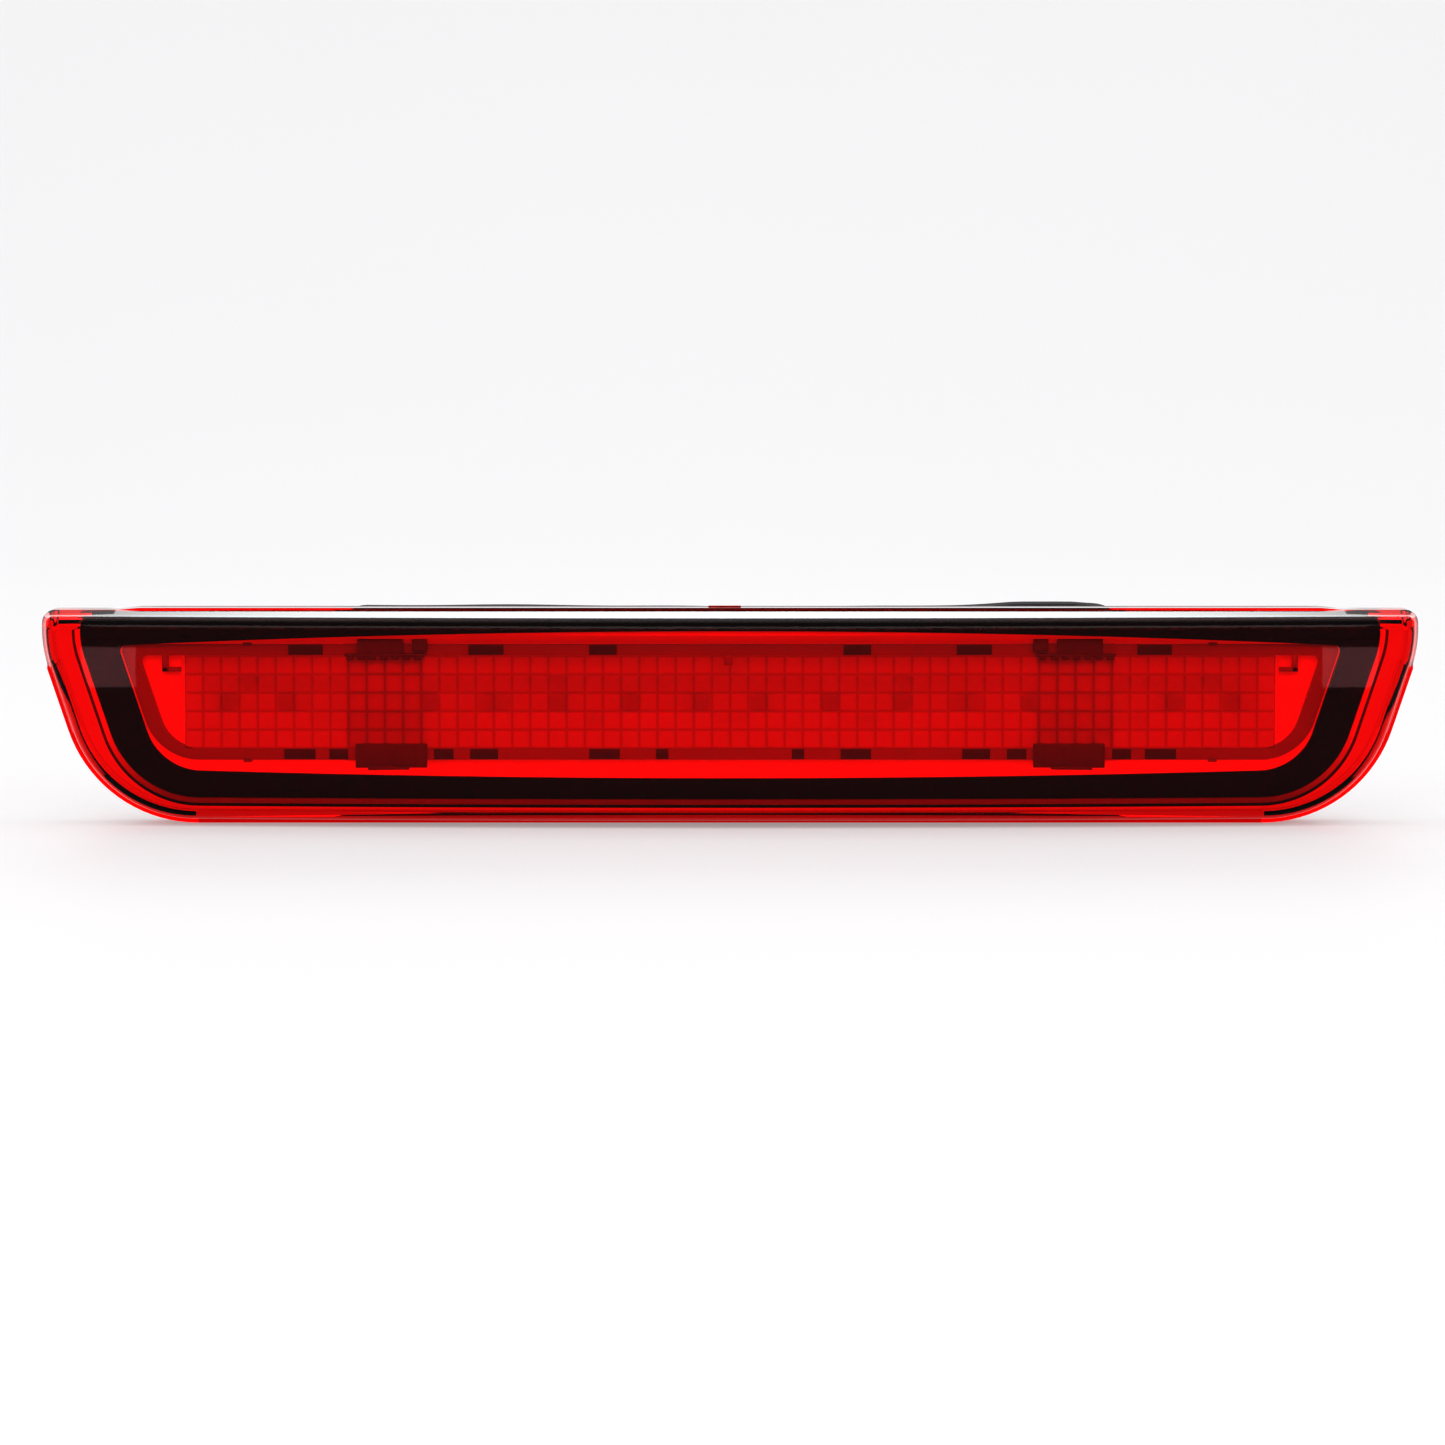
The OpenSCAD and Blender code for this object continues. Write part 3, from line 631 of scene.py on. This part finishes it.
@dataclass
class LensAssembly:
    """The red lens with its skirt, flange and weld rib, and the black bezel behind its skin."""

    placement: Placement
    finishes: dict[str, bpy.types.Material]
    outline: LampOutline = field(default_factory=LampOutline)
    bow: Bow = field(default_factory=Bow)
    low: float = 0.5
    height: float = 58.5
    depth: float = 28.0
    wall: float = 2.5
    draft: float = 1.4
    edge_r: float = 3.2
    lip: float = 0.5
    lip_t: float = 10.0
    lip_side_z: float = 44.0
    lip_top_x: float = 165.5
    lip_ramp: float = 1.2
    inner_r: float = 0.8
    rib_t: float = 2.0
    rib_end: float = 24.0
    margin_side: float = 11.4
    margin_low: float = 7.5
    band_side: float = 9.6
    band_low: float = 7.2
    arch: float = 4.3
    sag: float = 1.6
    bezel_t: float = 2.0
    window_r: float = 0.7
    window_step: float = 0.4
    return_d: float = 20.0
    return_t: float = 1.6
    return_x: float = 176.0
    seat: float = 0.1

    @property
    def high(self) -> float:
        """Height of the lens top."""
        return self.low + self.height

    @property
    def roof(self) -> float:
        """Height of the underside of the lens top."""
        return self.high - self.wall

    @property
    def window_low(self) -> float:
        """Height of the window's bottom."""
        return self.low + self.margin_low + self.band_low

    @property
    def window_corner(self) -> float:
        """Height of the window's top at its corners."""
        return self.roof - self.seat - self.bezel_t - self.window_step - self.arch

    def inset(self, distance: float) -> list[Point2]:
        """Returns the lens outline moved in by a distance on every side."""
        return self.outline.loop(distance, self.low + distance, self.high - distance)

    def lip_share(self, x: float, z: float) -> float:
        """Returns 1 where the rear lip runs, 0 at the upper corners, and a short ramp between."""
        side = min(max((self.lip_side_z - z) / self.lip_ramp, 0.0), 1.0)
        top = min(max((self.lip_top_x - abs(x)) / self.lip_ramp, 0.0), 1.0)
        return max(side, top if z > self.high - 4 else 0.0)

    def lens_rings(self) -> list[Ring]:
        """Returns the lens's rings from the edge of the front face round to the inside of the skin."""
        rings: list[Ring] = []
        for k in range(8):
            angle = math.pi / 2 * k / 7
            distance = self.draft + self.edge_r * (1 - math.sin(angle))
            setback = self.edge_r * (1 - math.cos(angle))
            rings.append([(x, self.bow.depth(x, setback), z) for x, z in self.inset(distance)])
        back = self.depth - self.lip_t
        for share in (0.33, 0.66, 1.0):
            loop = self.inset(self.draft * (1 - share))
            rings.append([
                (x, self.bow.depth(x, self.edge_r) * (1 - share) + back * share, z) for x, z in loop
            ])
        wall, rim = self.inset(0.0), self.inset(-self.lip)
        for depth, reach in ((back, 1.0), (self.depth - 0.25, 1.0), (self.depth, 0.7)):
            ring = []
            for (x, z), (rim_x, rim_z) in zip(wall, rim):
                share = reach * self.lip_share(x, z)
                ring.append((x + (rim_x - x) * share, depth, z + (rim_z - z) * share))
            rings.append(ring)
        rings.append([(x, self.depth, z) for x, z in self.inset(self.wall)])
        for share in (0.5, 1.0):
            loop = self.inset(self.wall + self.draft * share)
            rings.append([
                (x, self.depth * (1 - share) + self.bow.depth(x, self.wall + self.inner_r) * share, z)
                for x, z in loop
            ])
        for k in range(1, 4):
            angle = math.pi / 2 * k / 3
            loop = self.inset(self.wall + self.draft + self.inner_r * (1 - math.cos(angle)))
            setback = self.wall + self.inner_r * (1 - math.sin(angle))
            rings.append([(x, self.bow.depth(x, setback), z) for x, z in loop])
        return rings

    def rib_path(self, in_side: float, low: float) -> list[Point2]:
        """Returns the open run of a rib: down the left side, along the bottom and up the right side."""
        loop = self.outline.loop(in_side, low, self.roof - 0.3)
        flat, turn, top = self.outline.flat_steps + 1, self.outline.turn_steps, self.outline.top_steps
        left = loop[2 * flat + turn + top:]
        return left + loop[:flat + turn - top]

    def build_lens(self) -> bpy.types.Object:
        """Builds the lens as a closed shell, with the gate mark on its flange."""
        maker = MeshMaker(self.placement)
        rings = self.lens_rings()
        made = maker.loft(rings)
        spine = self.outline.spine(150.0, self.low + self.height * 0.55)
        front = [(p[0], p[2]) for p in rings[0]]
        maker.cap(made[0], front, spine, lambda x, z: self.bow.depth(x))
        inside = [(p[0], p[2]) for p in rings[-1]]
        maker.cap(made[-1], inside, spine, lambda x, z: self.bow.depth(x, self.wall))
        top = self.high + self.lip
        maker.block((-6.0, self.depth - 1.4, top - 0.2), (3.0, self.depth - 0.3, top + 0.15), 0.12)
        shell = maker.object("lens_shell", self.finishes["lens_red"])
        return add_piece(shell, LAMP, "lens_red", "outer_lens")

    def build_rib(self, name: str, finish: str, near: float, far: float, setback: float) -> None:
        """Builds a rib that runs round the sides and the bottom of the bezel.

        Args:
            name: The piece's name.
            finish: The name of its finish.
            near: How far its inner side stands off the bezel.
            far: How far its outer side stands off the bezel.
            setback: How far its front edge lies behind the lens's face.
        """
        floor = self.low + self.margin_low
        outer_path = self.rib_path(self.margin_side - far, floor - far)
        inner_path = self.rib_path(self.margin_side - near, floor - near)
        rows = [
            [(x, self.bow.depth(x, setback), z) for x, z in outer_path],
            [(x, self.rib_end, z) for x, z in outer_path],
            [(x, self.rib_end, z) for x, z in inner_path],
            [(x, self.bow.depth(x, setback), z) for x, z in inner_path],
        ]
        maker = MeshMaker(self.placement)
        maker.bar(rows)
        add_piece(maker.object(name, self.finishes[finish]), LAMP, "lens_red")

    def window(self, grow: float = 0.0) -> list[Point2]:
        """Returns the window's loop, grown outwards by a distance."""
        return self.outline.loop(
            self.margin_side + self.band_side - grow, self.window_low - grow, self.window_corner + grow,
            self.sag, self.arch,
        )

    def build_bezel(self) -> bpy.types.Object:
        """Builds the bezel: a bowed frame with a rounded window edge, and its return flange."""
        front, thick, edge = self.wall + self.seat, self.bezel_t, self.window_r
        outer = self.outline.loop(self.margin_side, self.low + self.margin_low, self.roof - self.seat)
        rings = [[(x, self.bow.depth(x, front + thick), z) for x, z in outer],
                 [(x, self.bow.depth(x, front), z) for x, z in outer]]
        for k in range(5):
            angle = math.pi / 2 * k / 4
            loop = self.window(edge * (1 - math.sin(angle)))
            setback = front + edge * (1 - math.cos(angle))
            rings.append([(x, self.bow.depth(x, setback), z) for x, z in loop])
        rings.append([(x, self.bow.depth(x, front + thick), z) for x, z in self.window()])
        maker = MeshMaker(self.placement)
        maker.loft(rings, around=True)
        self.add_return(maker)
        frame_piece = maker.object("bezel_frame", self.finishes["bezel_black"])
        return add_piece(frame_piece, LAMP, "bezel_black", "bezel")

    def add_return(self, maker: MeshMaker) -> None:
        """Adds the flange that runs back under the lens top."""
        top = self.roof - self.seat
        bottom = top - self.return_t
        steps = 40
        rows: list[Ring] = [[], [], [], []]
        for i in range(steps + 1):
            x = self.return_x * (2 * i / steps - 1)
            start = self.bow.depth(x, self.wall + self.seat + self.bezel_t + 0.02)
            places = ((start, top), (self.return_d, top), (self.return_d, bottom), (start, bottom))
            for row, (depth, z) in zip(rows, places):
                row.append((x, depth, z))
        maker.bar(rows)

    def build(self) -> None:
        """Builds the lens, the weld rib that belongs to it, and the bezel."""
        self.build_lens()
        front = self.wall + 0.03
        self.build_rib("weld_rib", "weld_red", self.seat, self.rib_t - 0.45, front)
        # A dark strip along the rib's outer edge: painted shade where the rib's edge falls into shadow.
        self.build_rib("weld_shade", "weld_painted_shade", self.rib_t - 0.4, self.rib_t + 0.4, front + 0.3)
        self.build_bezel()


# ---------------------------------------------------------------- optic and reflector


@dataclass
class LightUnit:
    """The pillow optic in its frame, the sloping rim around them and the clips that hold them."""

    placement: Placement
    finishes: dict[str, bpy.types.Material]
    lens: LensAssembly
    width: float = 300.0
    height: float = 25.5
    strip: float = 3.1
    gap: float = 0.1
    end_w: float = 4.2
    bar: float = 1.0
    plate: float = 2.0
    columns: int = 60
    rows: int = 5
    pillow: float = 0.9
    cell_steps: int = 6
    hook_x: Point2 = (154.6, 156.2)
    hook_drop: float = 4.4
    rib_x: Point2 = (131.6, 134.0)
    notch_x: Point2 = (-1.7, 0.8)
    pockets_top: tuple[Point2, ...] = ((112.0, 121.5), (62.3, 72.0), (31.2, 38.8))
    pockets_low: tuple[Point2, ...] = (
        (114.2, 122.8), (105.2, 110.4), (76.2, 81.6), (63.9, 71.6), (30.4, 38.8), (17.0, 20.4)
    )

    def __post_init__(self) -> None:
        """Takes the optic's place from its node."""
        low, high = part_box("inner_optic")
        self.back = self.placement.depth(high.y)
        self.front = self.back - self.plate
        self.middle = (low.z + high.z) / 2 / MM
        self.low = self.middle - self.height / 2
        self.high = self.middle + self.height / 2
        self.frame_side = self.lens.margin_side + self.lens.band_side + 0.4
        self.frame_low = self.low - self.gap - self.strip
        self.frame_high = self.high + self.gap + self.strip
        self.bezel_back = self.lens.wall + self.lens.bezel_t + 2 * self.gap

    def crown(self, x: float, z: float) -> float:
        """Returns the height of the pillows at a place of the optic."""
        u = (x + self.width / 2) / (self.width / self.columns)
        v = (z - self.low) / (self.height / self.rows)
        across = 1 - (2 * (u - math.floor(u)) - 1) ** 2
        upward = 1 - (2 * (v - math.floor(v)) - 1) ** 2
        return self.pillow * across * upward

    def build_optic(self) -> None:
        """Builds the optic as a closed plate with a pillowed front."""
        across, upward = self.columns * self.cell_steps, self.rows * self.cell_steps
        xs = [-self.width / 2 + self.width * i / across for i in range(across + 1)]
        zs = [self.low + self.height * i / upward for i in range(upward + 1)]
        maker = MeshMaker(self.placement)
        front = [maker.ring((x, self.front - self.crown(x, z), z) for x in xs) for z in zs]
        for low, high in zip(front, front[1:]):
            maker.bridge(low, high, closed=False)
        right, left = [row[-1] for row in front[1:]], [row[0] for row in front[-2:0:-1]]
        rim = front[0] + right + front[-1][-2::-1] + left
        back_y = self.placement.front_y + self.back * MM
        back = [maker.bm.verts.new((v.co.x, back_y, v.co.z)) for v in rim]
        maker.bridge(rim, back)
        maker.bm.faces.new(back).material_index = 1
        piece = maker.object("pillow_optic", self.finishes["optic_red"], 60.0)
        piece.data.materials.append(self.finishes["optic_frost"])
        add_piece(piece, LAMP, "optic_red", "inner_optic")

    def build_frame(self) -> None:
        """Builds the frame: a ring with rounded ends, its hooks, ribs and notch."""
        loop = self.lens.outline.loop
        outer = loop(self.frame_side, self.frame_low, self.frame_high)
        inner = loop(self.frame_side + self.end_w, self.low - self.gap, self.high + self.gap)
        maker = MeshMaker(self.placement)
        rings = []
        for edge, depth in ((outer, self.back), (outer, self.front), (inner, self.front), (inner, self.back)):
            rings.append([(x, max(depth, self.lens.bow.depth(x, self.bezel_back)), z) for x, z in edge])
        maker.loft(rings, around=True)
        thick, proud = (self.front, self.back), (self.front - 0.2, self.back)
        hook_low, hook_foot = self.high - self.hook_drop, self.width / 2 + self.gap + self.bar
        blocks = (
            Block(self.hook_x, proud, (hook_low, self.high + 0.3)),
            Block((hook_foot, self.hook_x[1]), proud, (hook_low, hook_low + 1.2)),
            Block(self.rib_x, thick, (self.frame_high - 0.5, self.frame_high + 3.0)),
            Block(self.rib_x, thick, (self.frame_low - 3.4, self.frame_low + 0.5)),
        )
        for station in Station:
            for block in blocks:
                block.add(maker, station, 0.15)
        notch = Block(self.notch_x, (self.front - 0.9, self.front - 0.2), (self.high - 2.6, self.high + 0.4))
        notch.add(maker, Station.RIGHT, 0.2)
        piece = maker.object("optic_carrier", self.finishes["frame_grey"])
        add_piece(piece, LAMP, "frame_grey", "optic_frame")

    def build_pocket_shade(self) -> None:
        """Builds dark boxes over the notches along the frame's strips: painted shade in the notches."""
        maker = MeshMaker(self.placement)
        inset = 0.15
        depth = (self.front - 0.12, self.front + 0.3)
        top, bottom = self.high + self.gap + inset, self.frame_low + inset
        for station in Station:
            for spans, z in ((self.pockets_top, top), (self.pockets_low, bottom)):
                for span in spans:
                    Block(span, depth, (z, z + self.strip - 2 * inset)).add(maker, station, 0.05)
        # These boxes are painted shade over the notches, not pieces of their own.
        add_piece(maker.object("frame_pocket_shade", self.finishes["pocket_painted_shade"]), LAMP, "clip_black")

    def build_rim(self) -> None:
        """Builds the bright rim that slopes from the window's edge to the frame."""
        bow, space, deep = self.lens.bow.depth, 0.3, self.front + 0.4
        near, outer = self.lens.window(1.0), self.lens.window(1.4)
        inner = self.lens.outline.loop(
            self.frame_side - space, self.frame_low - space, self.frame_high + space
        )
        rings = [
            [(x, bow(x, self.bezel_back), z) for x, z in near],
            [(x, max(deep, bow(x, self.bezel_back) + 0.2), z) for x, z in inner],
            [(x, max(deep, bow(x, self.bezel_back) + 0.2) + 0.8, z) for x, z in inner],
            [(x, bow(x, self.bezel_back) + 0.9, z) for x, z in outer],
            [(x, bow(x, self.bezel_back), z) for x, z in outer],
        ]
        maker = MeshMaker(self.placement)
        maker.loft(rings, around=True)
        # The rim's finish glows: painted light that keeps it bright inside the unlit lamp.
        rim = maker.object("reflector_rim", self.finishes["reflector_bright"])
        add_piece(rim, LAMP, "reflector_bright")

    def saddle_blocks(self, near: float, far: float, low: float, high: float) -> list[Block]:
        """Returns the boxes of an optic clip.

        Args:
            near: Depth of its front.
            far: Depth of its back.
            low: Height of its bottom.
            high: Height of its top.

        Returns:
            Its bracket and side lug, the toothed bar, the lower body with its boss, wings and tab.
        """
        body, teeth_x, tooth_pitch = (near, far - 1.5), 85.0, 3.1
        bracket = Block((89.8, 102.4), body, (high - 4.6, high - 0.5))
        lug = Block((83.3, 87.4), body, (high - 4.0, high - 0.5))
        bar = Block((84.0, 106.0), (near, near + 1.9), (high - 5.4, high - 4.6))
        starts = [teeth_x + tooth_pitch * k for k in range(7)]
        teeth = [Block((x, x + 1.9), (near + 0.1, near + 1.6), (high - 6.4, high - 5.2)) for x in starts]
        lower = Block((83.4, 103.0), body, (low, low + 6.6))
        boss = Block((86.4, 92.0), (near - 0.3, near + 1.0), (low + 0.6, low + 5.9))
        wings = Block((74.0, 107.6), (near + 1.1, far - 1.0), (low - 1.3, low - 0.1))
        tab = Block((88.2, 99.6), (near - 0.6, near + 1.6), (low - 3.4, low + 0.5))
        return [bracket, lug, bar, *teeth, lower, boss, wings, tab]

    def build_clips(self) -> None:
        """Builds both optic clips, each with its paler strap behind the optic."""
        edge_r = 0.18
        for station in Station:
            side = station.name.lower()
            node = f"optic_clip_{side}"
            low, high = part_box(node)
            near, far = self.placement.depth(low.y), self.placement.depth(high.y)
            bottom, top = low.z / MM, high.z / MM
            maker = MeshMaker(self.placement)
            for block in self.saddle_blocks(near, far, bottom, top):
                block.add(maker, station, edge_r)
            saddle = maker.object(f"optic_saddle_{side}", self.finishes["clip_black"])
            add_piece(saddle, LAMP, "clip_black", node)
            maker = MeshMaker(self.placement)
            behind = (self.back + 0.1, self.back + 1.2)
            Block((84.0, 106.0), behind, (bottom + 1.0, top - 1.0)).add(maker, station, edge_r)
            # The strap's finish carries a painted glow, painted light from within.
            strap = maker.object(f"saddle_strap_{side}", self.finishes["strap_smoky"])
            add_piece(strap, LAMP, "clip_black")

    def build(self) -> None:
        """Builds every piece of the light unit."""
        self.build_optic()
        self.build_frame()
        self.build_pocket_shade()
        self.build_rim()
        self.build_clips()


# ---------------------------------------------------------------- soft pieces


@dataclass
class SoftPieces:
    """The foam ring round the deep box and the two foam pads under the wings."""

    placement: Placement
    finishes: dict[str, bpy.types.Material]
    corner_r: float = 9.0
    foam_t: float = 3.95
    crest_x: float = 88.0
    crest_h: float = 1.3
    pad_w: float = 18.0
    pad_round: float = 1.2

    def ring_loop(self, low: Vector, high: Vector, inset: float, radius: float) -> list[Point2]:
        """Returns a rounded rectangle inside a box.

        Args:
            low: The box's lowest corner.
            high: The box's highest corner.
            inset: How far inside it the loop runs.
            radius: Corner radius.

        Returns:
            The loop's points in X and Z, in millimetres, with long sides cut finely.
        """
        steps, upright_pieces, long_pieces = 10, 14, 60
        x0, x1 = low.x / MM + inset, high.x / MM - inset
        z0, z1 = low.z / MM + inset, high.z / MM - inset
        corners = [(x1 - radius, z0 + radius, -90), (x1 - radius, z1 - radius, 0),
                   (x0 + radius, z1 - radius, 90), (x0 + radius, z0 + radius, 180)]
        points: list[Point2] = []
        for index, (x, z, start) in enumerate(corners):
            for i in range(steps + 1):
                angle = math.radians(start + 90 * i / steps)
                points.append((x + radius * math.cos(angle), z + radius * math.sin(angle)))
            end = corners[(index + 1) % 4]
            last = points[-1]
            angle = math.radians(end[2])
            run = end[0] + radius * math.cos(angle) - last[0]
            rise = end[1] + radius * math.sin(angle) - last[1]
            pieces = long_pieces if index in (1, 3) else upright_pieces
            points += [(last[0] + run * k / pieces, last[1] + rise * k / pieces) for k in range(1, pieces)]
        return points

    def swell(self, x: float, z: float, top: float) -> float:
        """Returns how far the cut foam edge stands in at x: it waves, and crests near one end."""
        if z < top - 12:
            return 0.25 + 0.12 * math.sin(x / 9.0)
        wave = 1.25 + 0.22 * math.sin(x / 23.0 + 0.8) + 0.12 * math.sin(x / 8.0)
        return max(0.02, wave - self.crest_h * math.exp(-((x - self.crest_x) / 14.0) ** 2))

    def build_gasket(self) -> bpy.types.Object:
        """Builds the foam ring with its wavy cut edge."""
        low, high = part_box("foam_gasket")
        outer = self.ring_loop(low, high, 0.0, self.corner_r)
        inner = self.ring_loop(low, high, self.foam_t, self.corner_r - self.foam_t)
        near, far = self.placement.depth(low.y), self.placement.depth(high.y)
        middle_z, top = (low.z + high.z) / 2 / MM, high.z / MM
        rows: list[Ring] = []
        front_cuts = ((near, 0.5), (near + 0.5, 0.0), (near + 4.0, 0.15), (near + 8.0, 0.1))
        for depth, cut in (*front_cuts, (far - 0.6, 0.0), (far, 0.6)):
            row = []
            for x, z in outer:
                move = cut + self.swell(x, z, top)
                length = math.hypot(x * 0.25, z - middle_z)
                row.append((x - move * x * 0.25 / length, depth, z - move * (z - middle_z) / length))
            rows.append(row)
        rows += [[(x, far, z) for x, z in inner], [(x, near, z) for x, z in inner]]
        maker = MeshMaker(self.placement)
        maker.loft(rows, around=True)
        ring = maker.object("foam_ring", self.finishes["foam_black"])
        return add_piece(ring, LAMP, "foam_black", "foam_gasket")

    def build_pads(self) -> None:
        """Builds the two pads under the wings, with soft corners."""
        low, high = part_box("end_pads")
        depth = (self.placement.depth(low.y), self.placement.depth(high.y))
        for station in Station:
            maker = MeshMaker(self.placement)
            edge = (high.x if station is Station.RIGHT else -low.x) / MM
            pad = Block((edge - self.pad_w, edge), depth, (low.z / MM, high.z / MM))
            pad.add(maker, station, self.pad_round)
            nodes = ("end_pads",) if station is Station.LEFT else ()
            piece = maker.object(f"wing_pad_{station.name.lower()}", self.finishes["foam_black"])
            add_piece(piece, LAMP, "foam_black", *nodes)

    def build(self) -> None:
        """Builds the ring and the pads."""
        self.build_gasket()
        self.build_pads()


# ---------------------------------------------------------------- studio


@dataclass(frozen=True)
class Softbox:
    """One soft studio light."""

    name: str
    place: Point3
    aim: Point3
    size: Point2
    watts: float
    colour: Colour = (1.0, 1.0, 1.0)

    def build(self) -> None:
        """Adds the light to the scene."""
        data = bpy.data.lights.new(self.name, "AREA")
        data.shape = "RECTANGLE"
        data.size, data.size_y = self.size
        data.energy, data.color = self.watts, self.colour
        lamp = bpy.data.objects.new(self.name, data)
        lamp.location = self.place
        lamp.rotation_euler = (Vector(self.aim) - Vector(self.place)).to_track_quat("-Z", "Y").to_euler()
        bpy.context.scene.collection.objects.link(lamp)


@dataclass
class Studio:
    """Pale floor, pale surround, soft lights and the camera."""

    distance: float = 1.6
    elevation: float = 4.5
    aim: Point3 = (-0.0021, -0.006, 0.0270)
    frame_width: float = 0.402
    sensor: float = 36.0
    half_width: float = 3.0
    floor_front: float = -3.0
    sweep_start: float = 1.1
    sweep_r: float = 0.9
    sweep_top: float = 3.0
    card_x: float = 0.2845
    card_aim_x: float = 0.17
    card_watts: float = 0.0035

    def build_floor(self) -> None:
        """Adds the pale floor, which sweeps up behind the lamp."""
        profile = [(self.floor_front, 0.0), (self.sweep_start, 0.0)]
        for i in range(1, 25):
            angle = math.pi / 2 * i / 24
            rise = self.sweep_r * (1 - math.cos(angle))
            profile.append((self.sweep_start + self.sweep_r * math.sin(angle), rise))
        profile.append((self.sweep_start + self.sweep_r, self.sweep_top))
        verts = [(x, y, z) for y, z in profile for x in (-self.half_width, self.half_width)]
        faces = [(2 * i, 2 * i + 1, 2 * i + 3, 2 * i + 2) for i in range(len(profile) - 1)]
        mesh = bpy.data.meshes.new("studio_sweep")
        mesh.from_pydata(verts, [], faces)
        mesh.shade_smooth()
        nodes = Nodes("sweep_pale")
        mesh.materials.append(nodes.principled({
            "Base Color": nodes.blend(nodes.noise(3.0), (0.395, 0.392, 0.395), (0.405, 0.402, 0.405)),
            "Roughness": 0.6,
            "Specular IOR Level": 0.1,
            "Emission Color": (0.99, 0.985, 0.99),
            "Emission Strength": 0.33,
        }))
        floor = bpy.data.objects.new("studio_sweep", mesh)
        bpy.context.scene.collection.objects.link(floor)

    def build_world(self) -> None:
        """Surrounds the scene with even pale light."""
        world = bpy.data.worlds.new("studio_world")
        world.use_nodes = True
        background = world.node_tree.nodes["Background"]
        background.inputs["Color"].default_value = (0.98, 0.975, 0.985, 1.0)
        background.inputs["Strength"].default_value = 0.9
        bpy.context.scene.world = world

    def build_camera(self) -> None:
        """Adds the camera at the lamp's front, a little above it."""
        data = bpy.data.cameras.new("front_camera")
        data.sensor_width = self.sensor
        data.lens = self.sensor * self.distance / self.frame_width
        data.clip_start, data.clip_end = 0.05, 40.0
        camera = bpy.data.objects.new("front_camera", data)
        tilt = math.radians(self.elevation)
        back = Vector((0.0, -math.cos(tilt), math.sin(tilt)))
        camera.location = Vector(self.aim) + back * self.distance
        camera.rotation_euler = (-back).to_track_quat("-Z", "Y").to_euler()
        bpy.context.scene.collection.objects.link(camera)
        bpy.context.scene.camera = camera

    def build(self) -> None:
        """Builds the whole studio."""
        scene = bpy.context.scene
        scene.view_settings.view_transform = "Standard"
        scene.view_settings.look = "High Contrast"
        scene.view_settings.exposure = -0.35
        self.build_camera()
        self.build_floor()
        self.build_world()
        Softbox("top_softbox", (0.0, 0.2, 1.4), (0.0, 0.0, 0.0), (1.8, 1.2), 6.0).build()
        Softbox("front_softbox", (0.0, -1.5, 0.75), (0.0, 0.0, 0.03), (1.4, 0.5), 9.0).build()
        for station in Station:
            name = f"{station.name.lower()}_card"
            place = (station.value * self.card_x, -0.38, 0.0182)
            aim = (station.value * self.card_aim_x, 0.0, 0.045)
            Softbox(name, place, aim, (0.027, 0.0135), self.card_watts, (1.0, 0.9, 0.95)).build()
        Softbox("back_softbox", (0.0, 1.85, 0.68), (0.0, 0.0, 0.1), (3.2, 0.7), 12.0).build()


def dress_nodes(finishes: dict[str, bpy.types.Material]) -> None:
    """Gives every CAD node that still shows the finish of its own slot."""
    for row in frame["record"]["subparts"]:
        node = frame["nodes"][row["node"]]
        if node.hide_render:
            continue
        node.data.materials.clear()
        node.data.materials.append(finishes[row["material_slot"]])
        log.info("%s wears %s", row["node"], row["material_slot"])


def main() -> None:
    """Builds the studio and the lamp's sub-assemblies, in order."""
    logging.basicConfig(level=logging.INFO, format="%(message)s")
    finishes = {finish.name: finish.material() for finish in FINISHES}
    placement = Placement()
    Studio().build()
    lens = LensAssembly(placement, finishes)
    lens.build()
    LightUnit(placement, finishes, lens).build()
    SoftPieces(placement, finishes).build()
    dress_nodes(finishes)


if __name__ == "__main__":
    main()
